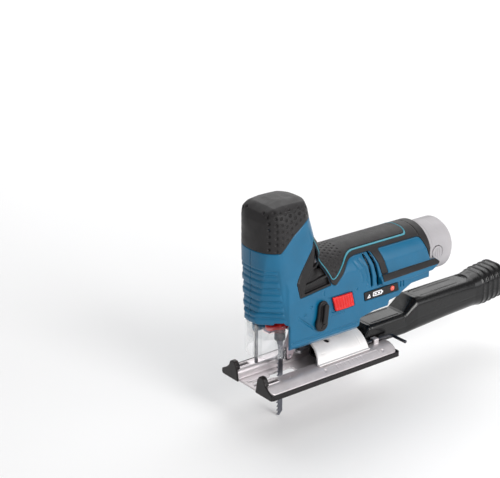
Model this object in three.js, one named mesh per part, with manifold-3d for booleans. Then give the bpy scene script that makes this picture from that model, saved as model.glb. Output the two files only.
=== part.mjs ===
// Compact cordless jigsaw with a barrel grip, built as an assembly of separate solids.
// Millimetres, +Z up. The origin is the centre of the shoe's footprint on the sole plane.
// The saw cuts towards -Y. The side with the switch and the orbital lever faces +X.
// Every place is written from the blade line: y = 0 there, and the whole group is moved at the end.
import * as THREE from 'three';
import { mergeVertices } from 'three/addons/utils/BufferGeometryUtils.js';
import Module from 'manifold-3d';

const wasm = await Module();
wasm.setup();

// ---- driving dimensions --------------------------------------------------------------------
const gap = 0.3;                 // clearance between pieces that touch
const runGap = 0.4;              // clearance round a piece that moves

const shoeWidth = 75;
const shoeLength = 154;
const bladeToShoeFront = 37;
const sheet = 2;                 // shoe plate and bracket thickness
const railHeight = 11;           // top of the two raised rails
const skidHeight = 1.6;          // overshoe skid under the rails
const slotHalf = 5.5;            // blade opening in the floor
const archRadius = 27.5;         // bevel bracket, measured from the sole plane
const floorHalf = archRadius - 13.8;   // half width of the shoe's sunk floor
const archFront = 24;
const archRear = 88;
const footHalf = 7.8;            // stays clear of the bracket's feet at full bevel
const bevelScrewY = 22.2;
const bevelScrewRadius = 2;

const headRadius = 28.4;         // half width of the upright grip
const headTop = 177;
const headBottom = 63;
const barrelRadius = 29.5;
const barrelZ = 88.5;            // axis of motor, barrel and battery
const barrelRear = 160;
const bodyHalf = 28.2;           // half width of the lower body
const bodyBottom = 36.3;
const footTop = 38.5;            // foot of the gear frame, over the bracket
const bodyFront = -12;
const wall = 3.2;
const skin = 1.6;                // soft grip thickness, set into the wall
const splitGap = 0.15;           // each half stays this far from the split plane

const motorRadius = 18;
const motorFront = 38;
const motorLength = 54;
const shaftRadius = 2;
const gearModule = 0.75;
const pinionTeeth = 12;
const gearTeeth = 48;
const gearFront = 13;
const gearWidth = 6;
const axleRadius = 3;
const bulkFront = 24;            // cast bulkhead between gear and fan
const bulkRear = 28;
const bulkHalf = 24;
const bulkNeck = 16.5;           // half width above the shoulder, clear of the grilles
const bulkShoulder = 90;
const bulkTop = 124;
const webRear = 26;              // thin web above the bulkhead, inside the tapering head
const webFoot = 2.5;
const carrierRear = 21.5;
const strokeHalf = 9;            // blade stroke is twice this
const balanceHalf = 6;           // counterweight travel each way
const balanceWide = 13.5;
const balanceThick = 3.4;

const plungerRadius = 3.5;
const plungerTop = headTop - 25;
const bushLength = 8;
const bushWall = 2;
const upperBushZ = headTop - 38;
const lowerBushZ = 66;
const clampBottom = 37;
const clampHeight = 18;
const clampRadius = 5.2;
const releaseZ = 49.5;           // underside of the release collar
const bladeThickness = 1.3;
const bladeBack = 3.5;
const bladeTip = -40;

const rollerRadius = 5.5;
const rollerHalf = 1.6;
const forkHalf = 3.4;
const rollerZ = 19;
const forkPivot = { y: 16, z: 45 };

const leverHub = { y: 24, z: 56.3 };
const leverLength = 20;
const leverRadius = 5.2;

const batteryRadius = 25.5;
const batteryEnd = 195;
const packRadius = 23;           // part of the pack inside the handle
const packFront = 114;
const cellRadius = 9;
const cellLength = 60;

const pipeHalf = floorHalf + 0.3;
const ductHalf = floorHalf - 1.1;
const pipeFloor = 3;             // underside of the duct over the shoe's floor
const pipeWall = 1.8;

// ---- colours -------------------------------------------------------------------------------
function finish(color, roughness, metalness = 0) {
  return new THREE.MeshStandardMaterial({ color, roughness, metalness });
}
const looks = {
  shell: () => finish(0x1f7099, 0.5),
  grip: () => finish(0x3c3a3a, 0.85),
  black: () => finish(0x1d1c1d, 0.45),
  red: () => finish(0xe62823, 0.4),
  steel: () => finish(0xb9bcc0, 0.3, 1),
  dark_steel: () => finish(0x55565a, 0.4, 1),
  plate: () => finish(0xc9c6c8, 0.35, 0.9),
  clear: () => finish(0xe8eef0, 0.1),
  copper: () => finish(0xb0703a, 0.4, 1),
  pack: () => finish(0xbebcc0, 0.6),
  board: () => finish(0x1d5a34, 0.6),
  magnesium: () => finish(0xa7a3a6, 0.5, 0.8),
  brass: () => finish(0xb9954f, 0.4, 1),
};

// ---- solids and booleans -------------------------------------------------------------------
const holder = new THREE.Group();

function toSolid(geometry) {
  const plain = geometry.clone();
  plain.deleteAttribute('normal');
  plain.deleteAttribute('uv');
  const merged = mergeVertices(plain, 1e-4);
  return new wasm.Manifold(new wasm.Mesh({
    numProp: 3,
    vertProperties: new Float32Array(merged.attributes.position.array),
    triVerts: new Uint32Array(merged.index.array),
  }));
}

function toGeometry(solid) {
  const { vertProperties, triVerts } = solid.getMesh();
  const geometry = new THREE.BufferGeometry();
  geometry.setAttribute('position', new THREE.BufferAttribute(vertProperties, 3));
  geometry.setIndex(new THREE.BufferAttribute(triVerts, 1));
  geometry.computeVertexNormals();
  return geometry;
}

function add(name, solid, look) {
  const mesh = new THREE.Mesh(toGeometry(solid), looks[look]());
  mesh.name = name;
  holder.add(mesh);
}

const join = (first, ...rest) => rest.reduce((sum, next) => sum.add(next), first);
const cut = (first, ...rest) => rest.reduce((sum, next) => sum.subtract(next), first);

function extrude(points, depth) {
  const shape = new THREE.Shape(points.map(([u, v]) => new THREE.Vector2(u, v)));
  return new THREE.ExtrudeGeometry(shape, { depth, bevelEnabled: false });
}

// An outline in (y, z) drawn out along X, in (x, z) along Y, or in (x, y) along Z.
function alongX(points, from, to) {
  const geometry = extrude(points, to - from);
  geometry.applyMatrix4(new THREE.Matrix4().set(0, 0, 1, from, 1, 0, 0, 0, 0, 1, 0, 0, 0, 0, 0, 1));
  return toSolid(geometry);
}
function alongY(points, from, to) {
  const geometry = extrude(points, to - from);
  geometry.applyMatrix4(new THREE.Matrix4().set(1, 0, 0, 0, 0, 0, -1, to, 0, 1, 0, 0, 0, 0, 0, 1));
  return toSolid(geometry);
}
function alongZ(points, from, to) {
  const geometry = extrude(points, to - from);
  geometry.translate(0, 0, from);
  return toSolid(geometry);
}
function block(x0, x1, y0, y1, z0, z1) {
  return alongZ([[x0, y0], [x1, y0], [x1, y1], [x0, y1]], z0, z1);
}

function ring(radius, count, u = 0, v = 0, start = 0, sweep = 2 * Math.PI) {
  const steps = sweep === 2 * Math.PI ? count : count - 1;
  return Array.from({ length: count }, (_, i) => {
    const angle = start + sweep * i / steps;
    return [u + radius * Math.cos(angle), v + radius * Math.sin(angle)];
  });
}
const discX = (radius, x0, x1, y, z, count = 24) => alongX(ring(radius, count, y, z), x0, x1);
const discY = (radius, y0, y1, x, z, count = 24) => alongY(ring(radius, count, x, z), y0, y1);
const discZ = (radius, z0, z1, x, y, count = 24) => alongZ(ring(radius, count, x, y), z0, z1);

// Rounded slot outline between two centres, as points.
function slotOutline(a, b, radius, count = 8) {
  const along = Math.atan2(b[1] - a[1], b[0] - a[0]);
  return [
    ...ring(radius, count, b[0], b[1], along - Math.PI / 2, Math.PI),
    ...ring(radius, count, a[0], a[1], along + Math.PI / 2, Math.PI),
  ];
}
const mirror = (points) => points.map(([u, v]) => [-u, v]).reverse();
const shift = (points, du, dv) => points.map(([u, v]) => [u + du, v + dv]);

// ---- outer form of the housing -------------------------------------------------------------
// The upright grip is a loft: each level is an oval between a front and a rear end.
const capEdge = headTop - 44;    // lower edge of the soft cap at the front
const headLevels = [
  { z: headBottom, front: -36, rear: 46, half: headRadius },
  { z: headBottom + 5, front: -36.3, rear: 46, half: headRadius },
  { z: headBottom + 11, front: -34.8, rear: 46, half: headRadius },
  { z: headTop - 59, front: -35, rear: 44, half: headRadius },
  { z: capEdge, front: -35, rear: 37.5, half: headRadius },
  { z: headTop - 27, front: -34.5, rear: 32, half: headRadius },
  { z: headTop - 17, front: -32.8, rear: 29.3, half: headRadius - 1.5 },
  { z: headTop - 9, front: -29, rear: 24.5, half: headRadius - 4.5 },
  { z: headTop - 3, front: -21.5, rear: 17, half: headRadius - 11 },
  { z: headTop, front: -12, rear: 8, half: headRadius - 19.5 },
];

function headOutline(level, inset, count) {
  const half = Math.max(level.half - inset, 1);
  const front = level.front + inset;
  const rear = level.rear - inset;
  const end = Math.min(half, (rear - front) / 2);
  const quarter = count / 2;
  const rearArc = ring(1, quarter, 0, 0, 0, Math.PI).map(([c, s]) => [c * half, rear - end + s * end]);
  const frontArc = ring(
    1, quarter, 0, 0, Math.PI, Math.PI,
  ).map(([c, s]) => [c * half, front + end + s * end]);
  return [...rearArc, ...frontArc];
}

function loft(rings) {
  const count = rings[0].points.length;
  const positions = [];
  const index = [];
  for (const { z, points } of rings) {
    for (const [x, y] of points) positions.push(x, y, z);
  }
  for (let level = 0; level + 1 < rings.length; level++) {
    for (let i = 0; i < count; i++) {
      const a = level * count + i;
      const b = level * count + (i + 1) % count;
      index.push(a, b, b + count, a, b + count, a + count);
    }
  }
  const last = (rings.length - 1) * count;
  for (let i = 1; i + 1 < count; i++) {
    index.push(0, i + 1, i, last, last + i, last + i + 1);
  }
  const geometry = new THREE.BufferGeometry();
  geometry.setAttribute('position', new THREE.Float32BufferAttribute(positions, 3));
  geometry.setIndex(index);
  return toSolid(geometry);
}

function headForm(inset, below = 0) {
  const top = headTop - inset;
  const levels = headLevels.filter((level) => level.z < top);
  const rings = levels.map((level, i) => ({
    z: i === 0 ? level.z - below : level.z,
    points: headOutline(level, inset, 32),
  }));
  rings.push({ z: top, points: headOutline(headLevels.at(-1), inset, 32) });
  return loft(rings);
}

// The barrel behind it: round on top, flat-sided below, with a flange at mid height.
const flangeZ = 80;
function barrelSection(inset) {
  const radius = barrelRadius - inset;
  const half = bodyHalf - inset;
  const bottom = bodyBottom + inset;
  const side = Math.asin(Math.min(1, half / radius));
  const arc = ring(radius, 17, 0, barrelZ, Math.PI / 2 - side, 2 * side);
  return [[half, bottom + 5], ...arc, [-half, bottom + 5], [-half + 5, bottom], [half - 5, bottom]];
}

function sideOutline(inset) {
  return [
    [bodyFront - (inset ? 8 : 0), bodyBottom + inset], [71 - inset, bodyBottom + inset],
    [72.5 - inset, 47.5 + inset], [90 - inset, 51 + inset], [107.5 - inset, 51.5 + inset],
    [109 - inset, 57 + inset], [120 - inset, 58 + inset],
    [barrelRear + (inset ? 8 : 0), 59 + inset],
    [barrelRear + (inset ? 8 : 0), 117 - inset], [145, 118.5 - inset],
    [20, 118.5 - inset], [bodyFront - (inset ? 8 : 0), 100],
  ];
}

function bodyForm(inset) {
  const run = alongY(barrelSection(inset), bodyFront - 8, barrelRear + 8);
  const side = alongX(sideOutline(inset), -40, 40);
  return run.intersect(side);
}

function flange(sideSign) {
  const outline = [
    [95, flangeZ + 1.5], [100, flangeZ + 4], [165, flangeZ + 4.5], [168, flangeZ + 1.5],
    [160, flangeZ - 5], [142, flangeZ - 5], [138, flangeZ - 6], [100, flangeZ - 5],
  ];
  const from = batteryRadius + 1;
  const solid = alongX(outline, from, bodyHalf + 4);
  return sideSign > 0 ? solid : solid.mirror([1, 0, 0]);
}

const outerForm = join(headForm(0), bodyForm(0));
const skinForm = join(headForm(skin), bodyForm(skin));
const seatForm = join(headForm(skin + gap), bodyForm(skin + gap));
const innerForm = join(headForm(wall, 6), bodyForm(wall));

// Side outlines, in (y, z), of what is set into the shell.
const capOutline = [
  [-60, capEdge], [-23, capEdge], [-8, capEdge + 14.8], [6, capEdge + 24], [20, capEdge + 23.5],
  [33, capEdge + 16], [60, capEdge + 16], [60, headTop + 20], [-60, headTop + 20],
];
const bodyGripOutline = [
  [18.6, 135], [36.8, 91.4], [42, 88], [48, 95], [60, 109], [150, 109], [161, 84], [170, 84],
  [170, 130], [44, 130], [41, 136],
];
const ventOutline = [[-3.5, 101], [0.3, 86.3], [36, 90], [18.5, 134]];
const switchOutline = [[36.5, 78.5], [41, 62.4], [66, 62.4], [62, 78.5]];
const labelOutline = [[77.5, 63.8], [120.5, 63.8], [118.5, 72.3], [76, 72.3]];

const grow = (outline, amount) => {
  const y = outline.reduce((sum, p) => sum + p[0], 0) / outline.length;
  const z = outline.reduce((sum, p) => sum + p[1], 0) / outline.length;
  return outline.map(([u, v]) => {
    const length = Math.hypot(u - y, v - z);
    return [u + (u - y) * amount / length, v + (v - z) * amount / length];
  });
};

// ---- housing shells and the pieces set into them -------------------------------------------
const capCut = alongX(capOutline, -40, 40);
const gripCut = alongX(bodyGripOutline, -40, 40);
const capSeatCut = alongX(shift(capOutline, 0, -1.4 * gap), -40, 40);
const gripSeatCut = join(...[[gap, 0], [-gap, 0], [0, gap], [0, -gap]].map(([dy, dz]) =>
  alongX(shift(bodyGripOutline, 1.8 * dy, 1.8 * dz), -40, 40)));

const screwPlaces = [
  [-20, 122], [9, upperBushZ + bushLength + 4.2], [70, 54.5], [103.5, 71], [34.5, 49.5],
];
const switchTravel = 4;
const lamp = { y: 112, z: 68 };
const lampRadius = 2.4;
const screwHead = 3;
const screwShank = 1.6;

function housing() {
  const seats = outerForm.intersect(join(capSeatCut, gripSeatCut)).subtract(seatForm);
  let body = cut(outerForm, seats);
  body = join(body, flange(1), flange(-1));
  body = cut(body, innerForm);
  // bosses for the housing screws cross the split plane
  for (const [y, z] of screwPlaces) {
    const boss = discX(4.2, -40, 40, y, z, 14).intersect(seatForm);
    body = join(body, boss);
  }
  // battery mouth, underside opening over the bevel bracket and lower front opening
  const mouth = discY(batteryRadius + 0.6, packFront - 6, barrelRear + 10, 0, barrelZ, 40);
  const underside = block(-15.5, 15.5, bodyFront - 1, 69, bodyBottom - 2, bodyBottom + wall + 3);
  const front = block(-bodyHalf + wall, bodyHalf - wall, bodyFront - 10, 0, 30, headBottom + 3);
  const clearFront = block(-40, 40, -60, bodyFront, 20, headBottom);
  body = cut(body, mouth, underside, front, clearFront);
  // side windows
  const vents = alongX(ventOutline, -40, 40);
  const switchHole = alongX(grow(switchOutline, -2.2), bodyHalf - wall - 2, 40);
  const switchSeat = join(...[0, -switchTravel].map((dy) =>
    alongX(shift(grow(switchOutline, 2 * gap), dy, 0), bodyHalf - 1.2, 40)));
  const leverHole = discX(4 + runGap, bodyHalf - wall - 2, 40, leverHub.y, leverHub.z, 20);
  const labelSeat = alongX(grow(labelOutline, 2 * gap), bodyHalf - 1.3, 40);
  const lampHole = discX(lampRadius + gap, 15, 40, lamp.y, lamp.z, 14);
  body = cut(body, vents, switchHole, switchSeat, leverHole, labelSeat, lampHole);
  return body;
}

function screwBore(y, z) {
  return join(
    discX(screwShank + gap, -60, 12 + gap, y, z, 12),
    discX(screwHead + gap, -60, -17, y, z, 12),
  );
}

const bores = screwPlaces.map(([y, z]) => screwBore(y, z));
const housingWhole = cut(housing(), ...bores);

function halfOf(solid, sign) {
  const half = sign > 0 ? block(splitGap, 60, -80, 220, 0, 220) : block(-60, -splitGap, -80, 220, 0, 220);
  const parts = solid.intersect(half).decompose();
  return parts.sort((a, b) => b.volume() - a.volume())[0];
}
add('housing_left', halfOf(housingWhole, 1), 'shell');
add('housing_right', halfOf(housingWhole, -1), 'shell');

screwPlaces.forEach(([y, z], i) => {
  const head = cut(discX(screwHead, -19.5, -17 - gap, y, z, 12), discX(1.4, -25, -18.4, y, z, 6));
  add(`housing_screw_${i + 1}`, join(head, discX(screwShank, -18, 12, y, z, 10)), 'dark_steel');
});

function skinPiece(region) {
  const piece = outerForm.intersect(region).subtract(skinForm);
  return piece.decompose().sort((a, b) => b.volume() - a.volume())[0];
}
add('head_grip', skinPiece(capCut), 'grip');
add('body_grip', cut(skinPiece(gripCut), alongX(grow(ventOutline, gap), -40, 40)), 'grip');

function ventGrille(sign) {
  const plate = alongX(grow(ventOutline, -gap), bodyHalf - wall + 0.2, bodyHalf - 0.6);
  const slots = [[8, 95, 30, 97], [11, 104, 26, 107], [14, 113, 22.5, 117]].map(([y0, z0, y1, z1]) =>
    alongX([[y0, z0 - 3.2], [y1, z0 - 1.6], [y1 - 1, z1 + 2.6], [y0 + 1.5, z1 + 1]], 20, 40));
  const solid = cut(plate, ...slots);
  return sign > 0 ? solid : solid.mirror([1, 0, 0]);
}
add('vent_grille_left', ventGrille(1), 'black');
add('vent_grille_right', ventGrille(-1), 'black');

for (const [name, sign] of [['side_strip_left', 1], ['side_strip_right', -1]]) {
  const x = bodyHalf + 4 + gap;
  const strip = alongX(
    [[100, flangeZ + 0.6], [163, flangeZ + 1], [161, flangeZ + 4], [101, flangeZ + 3.6]], x, x + 0.8,
  );
  add(name, sign > 0 ? strip : strip.mirror([1, 0, 0]), 'grip');
}

// ---- switch, status window and electronics ---------------------------------------------------
function switchSlider() {
  const cap = alongX(grow(switchOutline, -gap), bodyHalf - 1.2 + gap, bodyHalf + 1.6);
  const stem = block(bodyHalf - 7, bodyHalf, 49, 55, 68, 73);
  return join(cap, stem);
}
add('switch_slider', switchSlider(), 'red');
add('status_window', alongX(labelOutline, bodyHalf - 1, bodyHalf + 0.2), 'black');
add('switch_module', join(block(6, 20.5, 40, 62, 60, 64.5), block(6, 17, 40, 62, 55, 68)), 'black');
add('circuit_board', block(-22, -20.4, 76, 98, 55, 66), 'board');
add('status_board', block(18, 19.6, 80, 114, 61.6, 66.4), 'board');
add('status_lamp', discX(lampRadius, 20, bodyHalf - 1.3, lamp.y, lamp.z, 12), 'red');

// ---- motor --------------------------------------------------------------------------------------
const motorRear = motorFront + motorLength;
const motorWall = 1.5;
const magnetRadius = motorRadius - motorWall - gap - 3;
function motorCan() {
  const outer = discY(motorRadius, motorFront, motorRear, 0, barrelZ, 28);
  const bore = discY(motorRadius - motorWall, motorFront + 2, motorRear + 1, 0, barrelZ, 28);
  const nose = discY(6, motorFront - 1.5, motorFront + 1, 0, barrelZ, 16);
  const shaftHole = discY(shaftRadius + runGap, motorFront - 5, motorFront + 5, 0, barrelZ, 16);
  const air = [60, 120, 240, 300].map((deg) => {
    const a = deg * Math.PI / 180;
    return discY(2.5, motorFront - 2, motorFront + 4, 11 * Math.cos(a), barrelZ + 11 * Math.sin(a), 10);
  });
  return cut(join(outer, nose), bore, shaftHole, ...air);
}
add('motor_can', motorCan(), 'steel');

function motorEndBell() {
  const disc = discY(motorRadius - motorWall - gap, motorRear - 4, motorRear - gap, 0, barrelZ, 24);
  const boss = discY(7, motorRear - 2, motorRear + 5, 0, barrelZ, 16);
  const bore = discY(shaftRadius + runGap, motorRear - 8, motorRear + 2, 0, barrelZ, 12);
  const tabs = [-1, 1].map((s) => block(
    s * 11 - 1.5, s * 11 + 1.5, motorRear - 2, motorRear + 6, barrelZ + 1, barrelZ + 1.8,
  ));
  return cut(join(disc, boss, ...tabs), bore);
}
add('motor_end_bell', motorEndBell(), 'black');

for (const [name, sign] of [['magnet_left', 1], ['magnet_right', -1]]) {
  const outer = ring(motorRadius - motorWall - gap, 9, 0, barrelZ, -Math.PI / 3, 2 * Math.PI / 3);
  const inner = ring(magnetRadius, 9, 0, barrelZ, -Math.PI / 3, 2 * Math.PI / 3).reverse();
  const magnet = alongY([...outer, ...inner], motorFront + 8, motorRear - 14);
  add(name, sign > 0 ? magnet : magnet.mirror([1, 0, 0]), 'dark_steel');
}

// Gear outline: stub teeth with straight flanks that narrow towards the tip.
function gearOutline(teeth, u, v, phase) {
  const pitch = gearModule * teeth / 2;
  const root = pitch - 1.05 * gearModule;
  const tip = pitch + 0.78 * gearModule;
  const step = 2 * Math.PI / teeth;
  const points = [];
  for (let i = 0; i < teeth; i++) {
    const middle = phase + i * step;
    for (const [radius, half] of [[root, 0.34], [tip, 0.105]]) {
      points.push([radius, middle - half * step, radius, middle + half * step]);
    }
  }
  const outline = [];
  for (let i = 0; i < points.length; i += 2) {
    const [root0, root1] = [points[i].slice(0, 2), points[i].slice(2)];
    const [tip0, tip1] = [points[i + 1].slice(0, 2), points[i + 1].slice(2)];
    for (const [radius, angle] of [root0, tip0, tip1, root1]) {
      outline.push([u + radius * Math.cos(angle), v + radius * Math.sin(angle)]);
    }
  }
  return outline;
}

const gearDistance = gearModule * (pinionTeeth + gearTeeth) / 2;
const gearZ = barrelZ + gearDistance;

function rotor() {
  const pinion = alongY(
    gearOutline(pinionTeeth, 0, barrelZ, Math.PI / 2), gearFront - 0.5, gearFront + gearWidth + 0.5,
  );
  const shaft = discY(shaftRadius, gearFront, motorRear, 0, barrelZ, 16);
  const core = discY(magnetRadius - 0.8, motorFront + 8, motorRear - 16, 0, barrelZ, 20);
  const commutator = discY(5, motorRear - 14, motorRear - 5, 0, barrelZ, 14);
  return join(pinion, shaft, core, commutator);
}
add('rotor', rotor(), 'copper');

const fanFront = motorFront - 9;
function coolingFan() {
  const hub = discY(5, fanFront, fanFront + 6, 0, barrelZ, 16);
  const disc = discY(16, fanFront, fanFront + 1.2, 0, barrelZ, 24);
  const blades = Array.from({ length: 9 }, (_, i) => {
    const a = 2 * Math.PI * i / 9;
    const [c, s] = [Math.cos(a), Math.sin(a)];
    const place = (r, o) => [r * c - o * s, barrelZ + r * s + o * c];
    return alongY(
      [place(4, -0.6), place(15.5, 1.6), place(15.2, 2.8), place(4, 0.6)], fanFront + 0.6, fanFront + 5.5,
    );
  });
  return cut(join(hub, disc, ...blades), discY(shaftRadius + 0.05, 0, 60, 0, barrelZ, 16));
}
add('cooling_fan', coolingFan(), 'black');

// ---- gear, crank and plunger --------------------------------------------------------------------
function driveGear() {
  const wheel = alongY(
    gearOutline(gearTeeth, 0, gearZ, -Math.PI / 2 + Math.PI / gearTeeth), gearFront,
    gearFront + gearWidth,
  );
  const hub = discY(6, gearFront, bulkFront - gap, 0, gearZ, 20);
  const crankPin = discY(2, gearFront - 4.4, gearFront + 1, strokeHalf, gearZ, 14);
  const bore = discY(axleRadius + 0.12, gearFront - 1, bulkFront + 1, 0, gearZ, 20);
  const lightening = [90, 180, 270].map((deg) => {
    const a = deg * Math.PI / 180;
    return discY(3.4, 0, 40, 10.5 * Math.cos(a), gearZ + 10.5 * Math.sin(a), 12);
  });
  return cut(join(wheel, hub, crankPin), bore, ...lightening);
}
add('drive_gear', driveGear(), 'steel');
add('gear_axle', join(
  discY(axleRadius, gearFront + 0.5, bulkRear + 3, 0, gearZ, 20),
  discY(axleRadius + 2, bulkRear + gap, bulkRear + 3, 0, gearZ, 16),
), 'dark_steel');
add('crank_roller', cut(
  discY(3.2, gearFront - 4.2, gearFront - gap, strokeHalf, gearZ, 16),
  discY(2.1, gearFront - 6, gearFront + 1, strokeHalf, gearZ, 14),
), 'dark_steel');

// Cast frame: bulkhead with the axle seat, bush carriers in front, foot over the bevel bracket.
function gearFrame() {
  const room = join(headForm(wall + gap, 6), bodyForm(wall + gap));
  const plate = join(
    block(-bulkHalf, bulkHalf, bulkFront, bulkRear, 44, bulkShoulder + 1),
    block(-bulkNeck, bulkNeck, bulkFront, bulkRear, bulkShoulder, bulkTop),
  );
  const bulkhead = plate.intersect(room);
  const upper = join(
    block(-9, 9, -8, carrierRear, upperBushZ, upperBushZ + bushLength),
    block(-9, 9, -8, webRear, upperBushZ, upperBushZ + webFoot),
  );
  const upperWeb = block(-9, 9, bulkFront, webRear, gearZ + 12, upperBushZ + webFoot);
  const lower = block(-12, 12, -8, bulkRear, lowerBushZ, lowerBushZ + bushLength);
  const foot = join(
    block(-footHalf, footHalf, 18, 68, archRadius - 2, footTop),
    block(-14.5, 14.5, 18, 68, footTop - 1, 44.5),
  );
  const back = block(-14.5, 14.5, 20, bulkRear, 40, 64);
  let frame = join(bulkhead, upper, upperWeb, lower, foot, back);
  const saddle = discY(archRadius + gap, 10, 80, 0, 0, 72);
  const axleSeat = discY(axleRadius + 0.15, bulkFront - 2, bulkRear + 2, 0, gearZ, 20);
  const shaftPass = discY(9, bulkFront - 2, bulkRear + 2, 0, barrelZ, 20);
  const [upperSeat, lowerSeat] = [upperBushZ, lowerBushZ].map((z) =>
    discZ(plungerRadius + bushWall + gap, z - 1, z + bushLength + 1, 0, 0, 20));
  const camPass = discX(4 + runGap, 3, 30, leverHub.y, leverHub.z, 16);
  const bevelBore = discZ(bevelScrewRadius + gap, 20, archRadius + 9 + gap, 0, bevelScrewY, 12);
  frame = cut(frame, saddle, axleSeat, shaftPass, upperSeat, lowerSeat, camPass, bevelBore);
  const forkRoom = block(-forkHalf - 0.6, forkHalf + 0.6, -10, 27, 20, 62);
  return cut(frame, forkRoom);
}
add('gear_frame', gearFrame(), 'magnesium');

function bush(z) {
  return cut(
    discZ(plungerRadius + bushWall, z, z + bushLength, 0, 0, 20),
    discZ(plungerRadius + 0.15, z - 1, z + bushLength + 1, 0, 0, 20),
  );
}
add('upper_bush', bush(upperBushZ), 'brass');
add('lower_bush', bush(lowerBushZ), 'brass');

function plunger() {
  const rod = discZ(plungerRadius, clampBottom + clampHeight - 1, plungerTop, 0, 0, 20);
  const yoke = block(-15.5, 15.5, 1, gearFront - 4.4 - gap, gearZ - 6.5, gearZ + 6.5);
  const slot = alongY(slotOutline([-9.2, gearZ], [9.2, gearZ], 3.5), 2.8, 20);
  return cut(join(rod, yoke), slot);
}
add('plunger', plunger(), 'steel');

const balanceFront = gearFront + gearWidth + 0.7;
function counterweight() {
  const plate = block(
    -balanceWide, balanceWide, balanceFront, balanceFront + balanceThick, gearZ - 11, gearZ + 22,
  );
  const slot = alongY(slotOutline([0, gearZ - balanceHalf], [0, gearZ + balanceHalf], 6.6), 0, 40);
  return cut(plate, slot);
}
add('counterweight', counterweight(), 'dark_steel');

// ---- blade clamp, blade and guide -----------------------------------------------------------------
const clampTop = clampBottom + clampHeight;
function bladeClamp() {
  const barrel = discZ(clampRadius, clampBottom, clampTop, 0, 0, 20);
  const rodSeat = discZ(plungerRadius + 0.1, clampTop - 1.6, clampTop + 1, 0, 0, 20);
  const slot = block(
    -bladeThickness / 2 - gap, bladeThickness / 2 + gap, -3.6, bladeBack + gap, clampBottom - 1,
    clampTop - 2.4,
  );
  return cut(barrel, rodSeat, slot);
}
add('blade_clamp', bladeClamp(), 'dark_steel');

function releaseLever() {
  const collar = discZ(8, releaseZ, releaseZ + 6.5, 0, 0, 24);
  const tab = alongZ([[-2, -7], [6, -6], [4.5, -15], [1, -16.5], [-3.5, -15]], releaseZ + 1, releaseZ + 6);
  return cut(join(collar, tab), discZ(clampRadius + gap, releaseZ - 1, releaseZ + 8, 0, 0, 20));
}
add('release_lever', releaseLever(), 'red');

function sawBlade() {
  const front = -3;
  const pitch = 4;
  const outline = [
    [bladeBack, clampTop - 3], [bladeBack, bladeTip + 3.5], [front + 3, bladeTip],
    [front + 1.6, bladeTip],
  ];
  for (let z = bladeTip + 1; z < clampBottom - 12; z += pitch) {
    outline.push([front, z], [front, z + 0.8], [front + 1.7, z + pitch - 0.8]);
  }
  outline.push([front + 1, clampBottom - 6], [front, clampBottom - 1], [front, clampTop - 3]);
  return alongX(outline.reverse(), -bladeThickness / 2, bladeThickness / 2);
}
add('saw_blade', sawBlade(), 'steel');

const rollerY = bladeBack + gap + rollerRadius;
function pendulumFork() {
  const side = [
    [rollerY - 3, rollerZ - 3.5], [rollerY + 3, rollerZ - 3.5], [forkPivot.y + 3, forkPivot.z - 12],
    [forkPivot.y + 4, forkPivot.z + 6], [forkPivot.y - 2, forkPivot.z + 8],
    [forkPivot.y - 4, forkPivot.z - 6],
    [rollerY - 3, rollerZ + 8],
  ];
  const whole = alongX(side, -forkHalf, forkHalf);
  const gate = alongX([
    [-10, -10], [rollerY + rollerRadius + 0.6, -10],
    [rollerY + rollerRadius + 0.6, rollerZ + rollerRadius + 0.8],
    [-10, rollerZ + 12],
  ], -rollerHalf - gap, rollerHalf + gap);
  const pinHole = discX(1.3 + 0.1, -10, 10, rollerY, rollerZ, 14);
  const pivotHole = discX(2 + 0.15, -10, 10, forkPivot.y, forkPivot.z, 14);
  return cut(whole, gate, pinHole, pivotHole);
}
add('pendulum_fork', pendulumFork(), 'plate');
add('fork_pivot_pin', discX(2, -forkHalf - 0.5, forkHalf + 0.5, forkPivot.y, forkPivot.z, 14), 'steel');
add('roller_pin', discX(1.3, -forkHalf, forkHalf, rollerY, rollerZ, 14), 'steel');

function guideRoller() {
  const wheel = discX(rollerRadius, -rollerHalf, rollerHalf, rollerY, rollerZ, 28);
  const groove = cut(
    discX(rollerRadius + 1, -0.75, 0.75, rollerY, rollerZ, 28),
    discX(rollerRadius - 0.8, -2, 2, rollerY, rollerZ, 28),
  );
  return cut(wheel, groove, discX(1.3 + 0.15, -5, 5, rollerY, rollerZ, 14));
}
add('guide_roller', guideRoller(), 'dark_steel');

function orbitalLever() {
  const x = headRadius + gap;
  const arm = alongX(
    slotOutline([leverHub.y, leverHub.z], [leverHub.y + 3, leverHub.z + leverLength], leverRadius), x,
    x + 4.5,
  );
  const rib = alongX(
    slotOutline([leverHub.y + 1, leverHub.z + 4], [leverHub.y + 3, leverHub.z + leverLength], 1.6),
    x + 4, x + 7,
  );
  const hub = discX(leverRadius + 1.2, x, x + 3.4, leverHub.y, leverHub.z, 20);
  const shaft = discX(4, forkHalf + 1, x + 1, leverHub.y, leverHub.z, 16);
  const flat = block(
    forkHalf, forkHalf + 6, leverHub.y - 5, leverHub.y - 1.5, leverHub.z - 5, leverHub.z + 5,
  );
  return cut(join(arm, rib, hub, shaft), flat);
}
add('orbital_lever', orbitalLever(), 'black');

add('guard_rod', join(
  discZ(1.6, 22.5, 64, 0, -27, 12),
  discZ(1.2, 21.3, 23, 0, -27, 12),
  block(-2.2, 2.2, -29.6, -24.4, 62, 70),
), 'dark_steel');

function chipGuard() {
  const half = bodyHalf - wall - 0.5;
  const level = { front: -34, rear: 40, half };
  const outer = headOutline(level, 0, 32);
  const inner = headOutline(level, 1.6, 32);
  const tube = cut(alongZ(outer, 30.5, headBottom - 0.6), alongZ(inner, 29, headBottom + 2));
  return cut(tube, block(-40, 40, bodyFront - gap, 80, 20, 80));
}
add('chip_guard', chipGuard(), 'clear');

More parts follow.
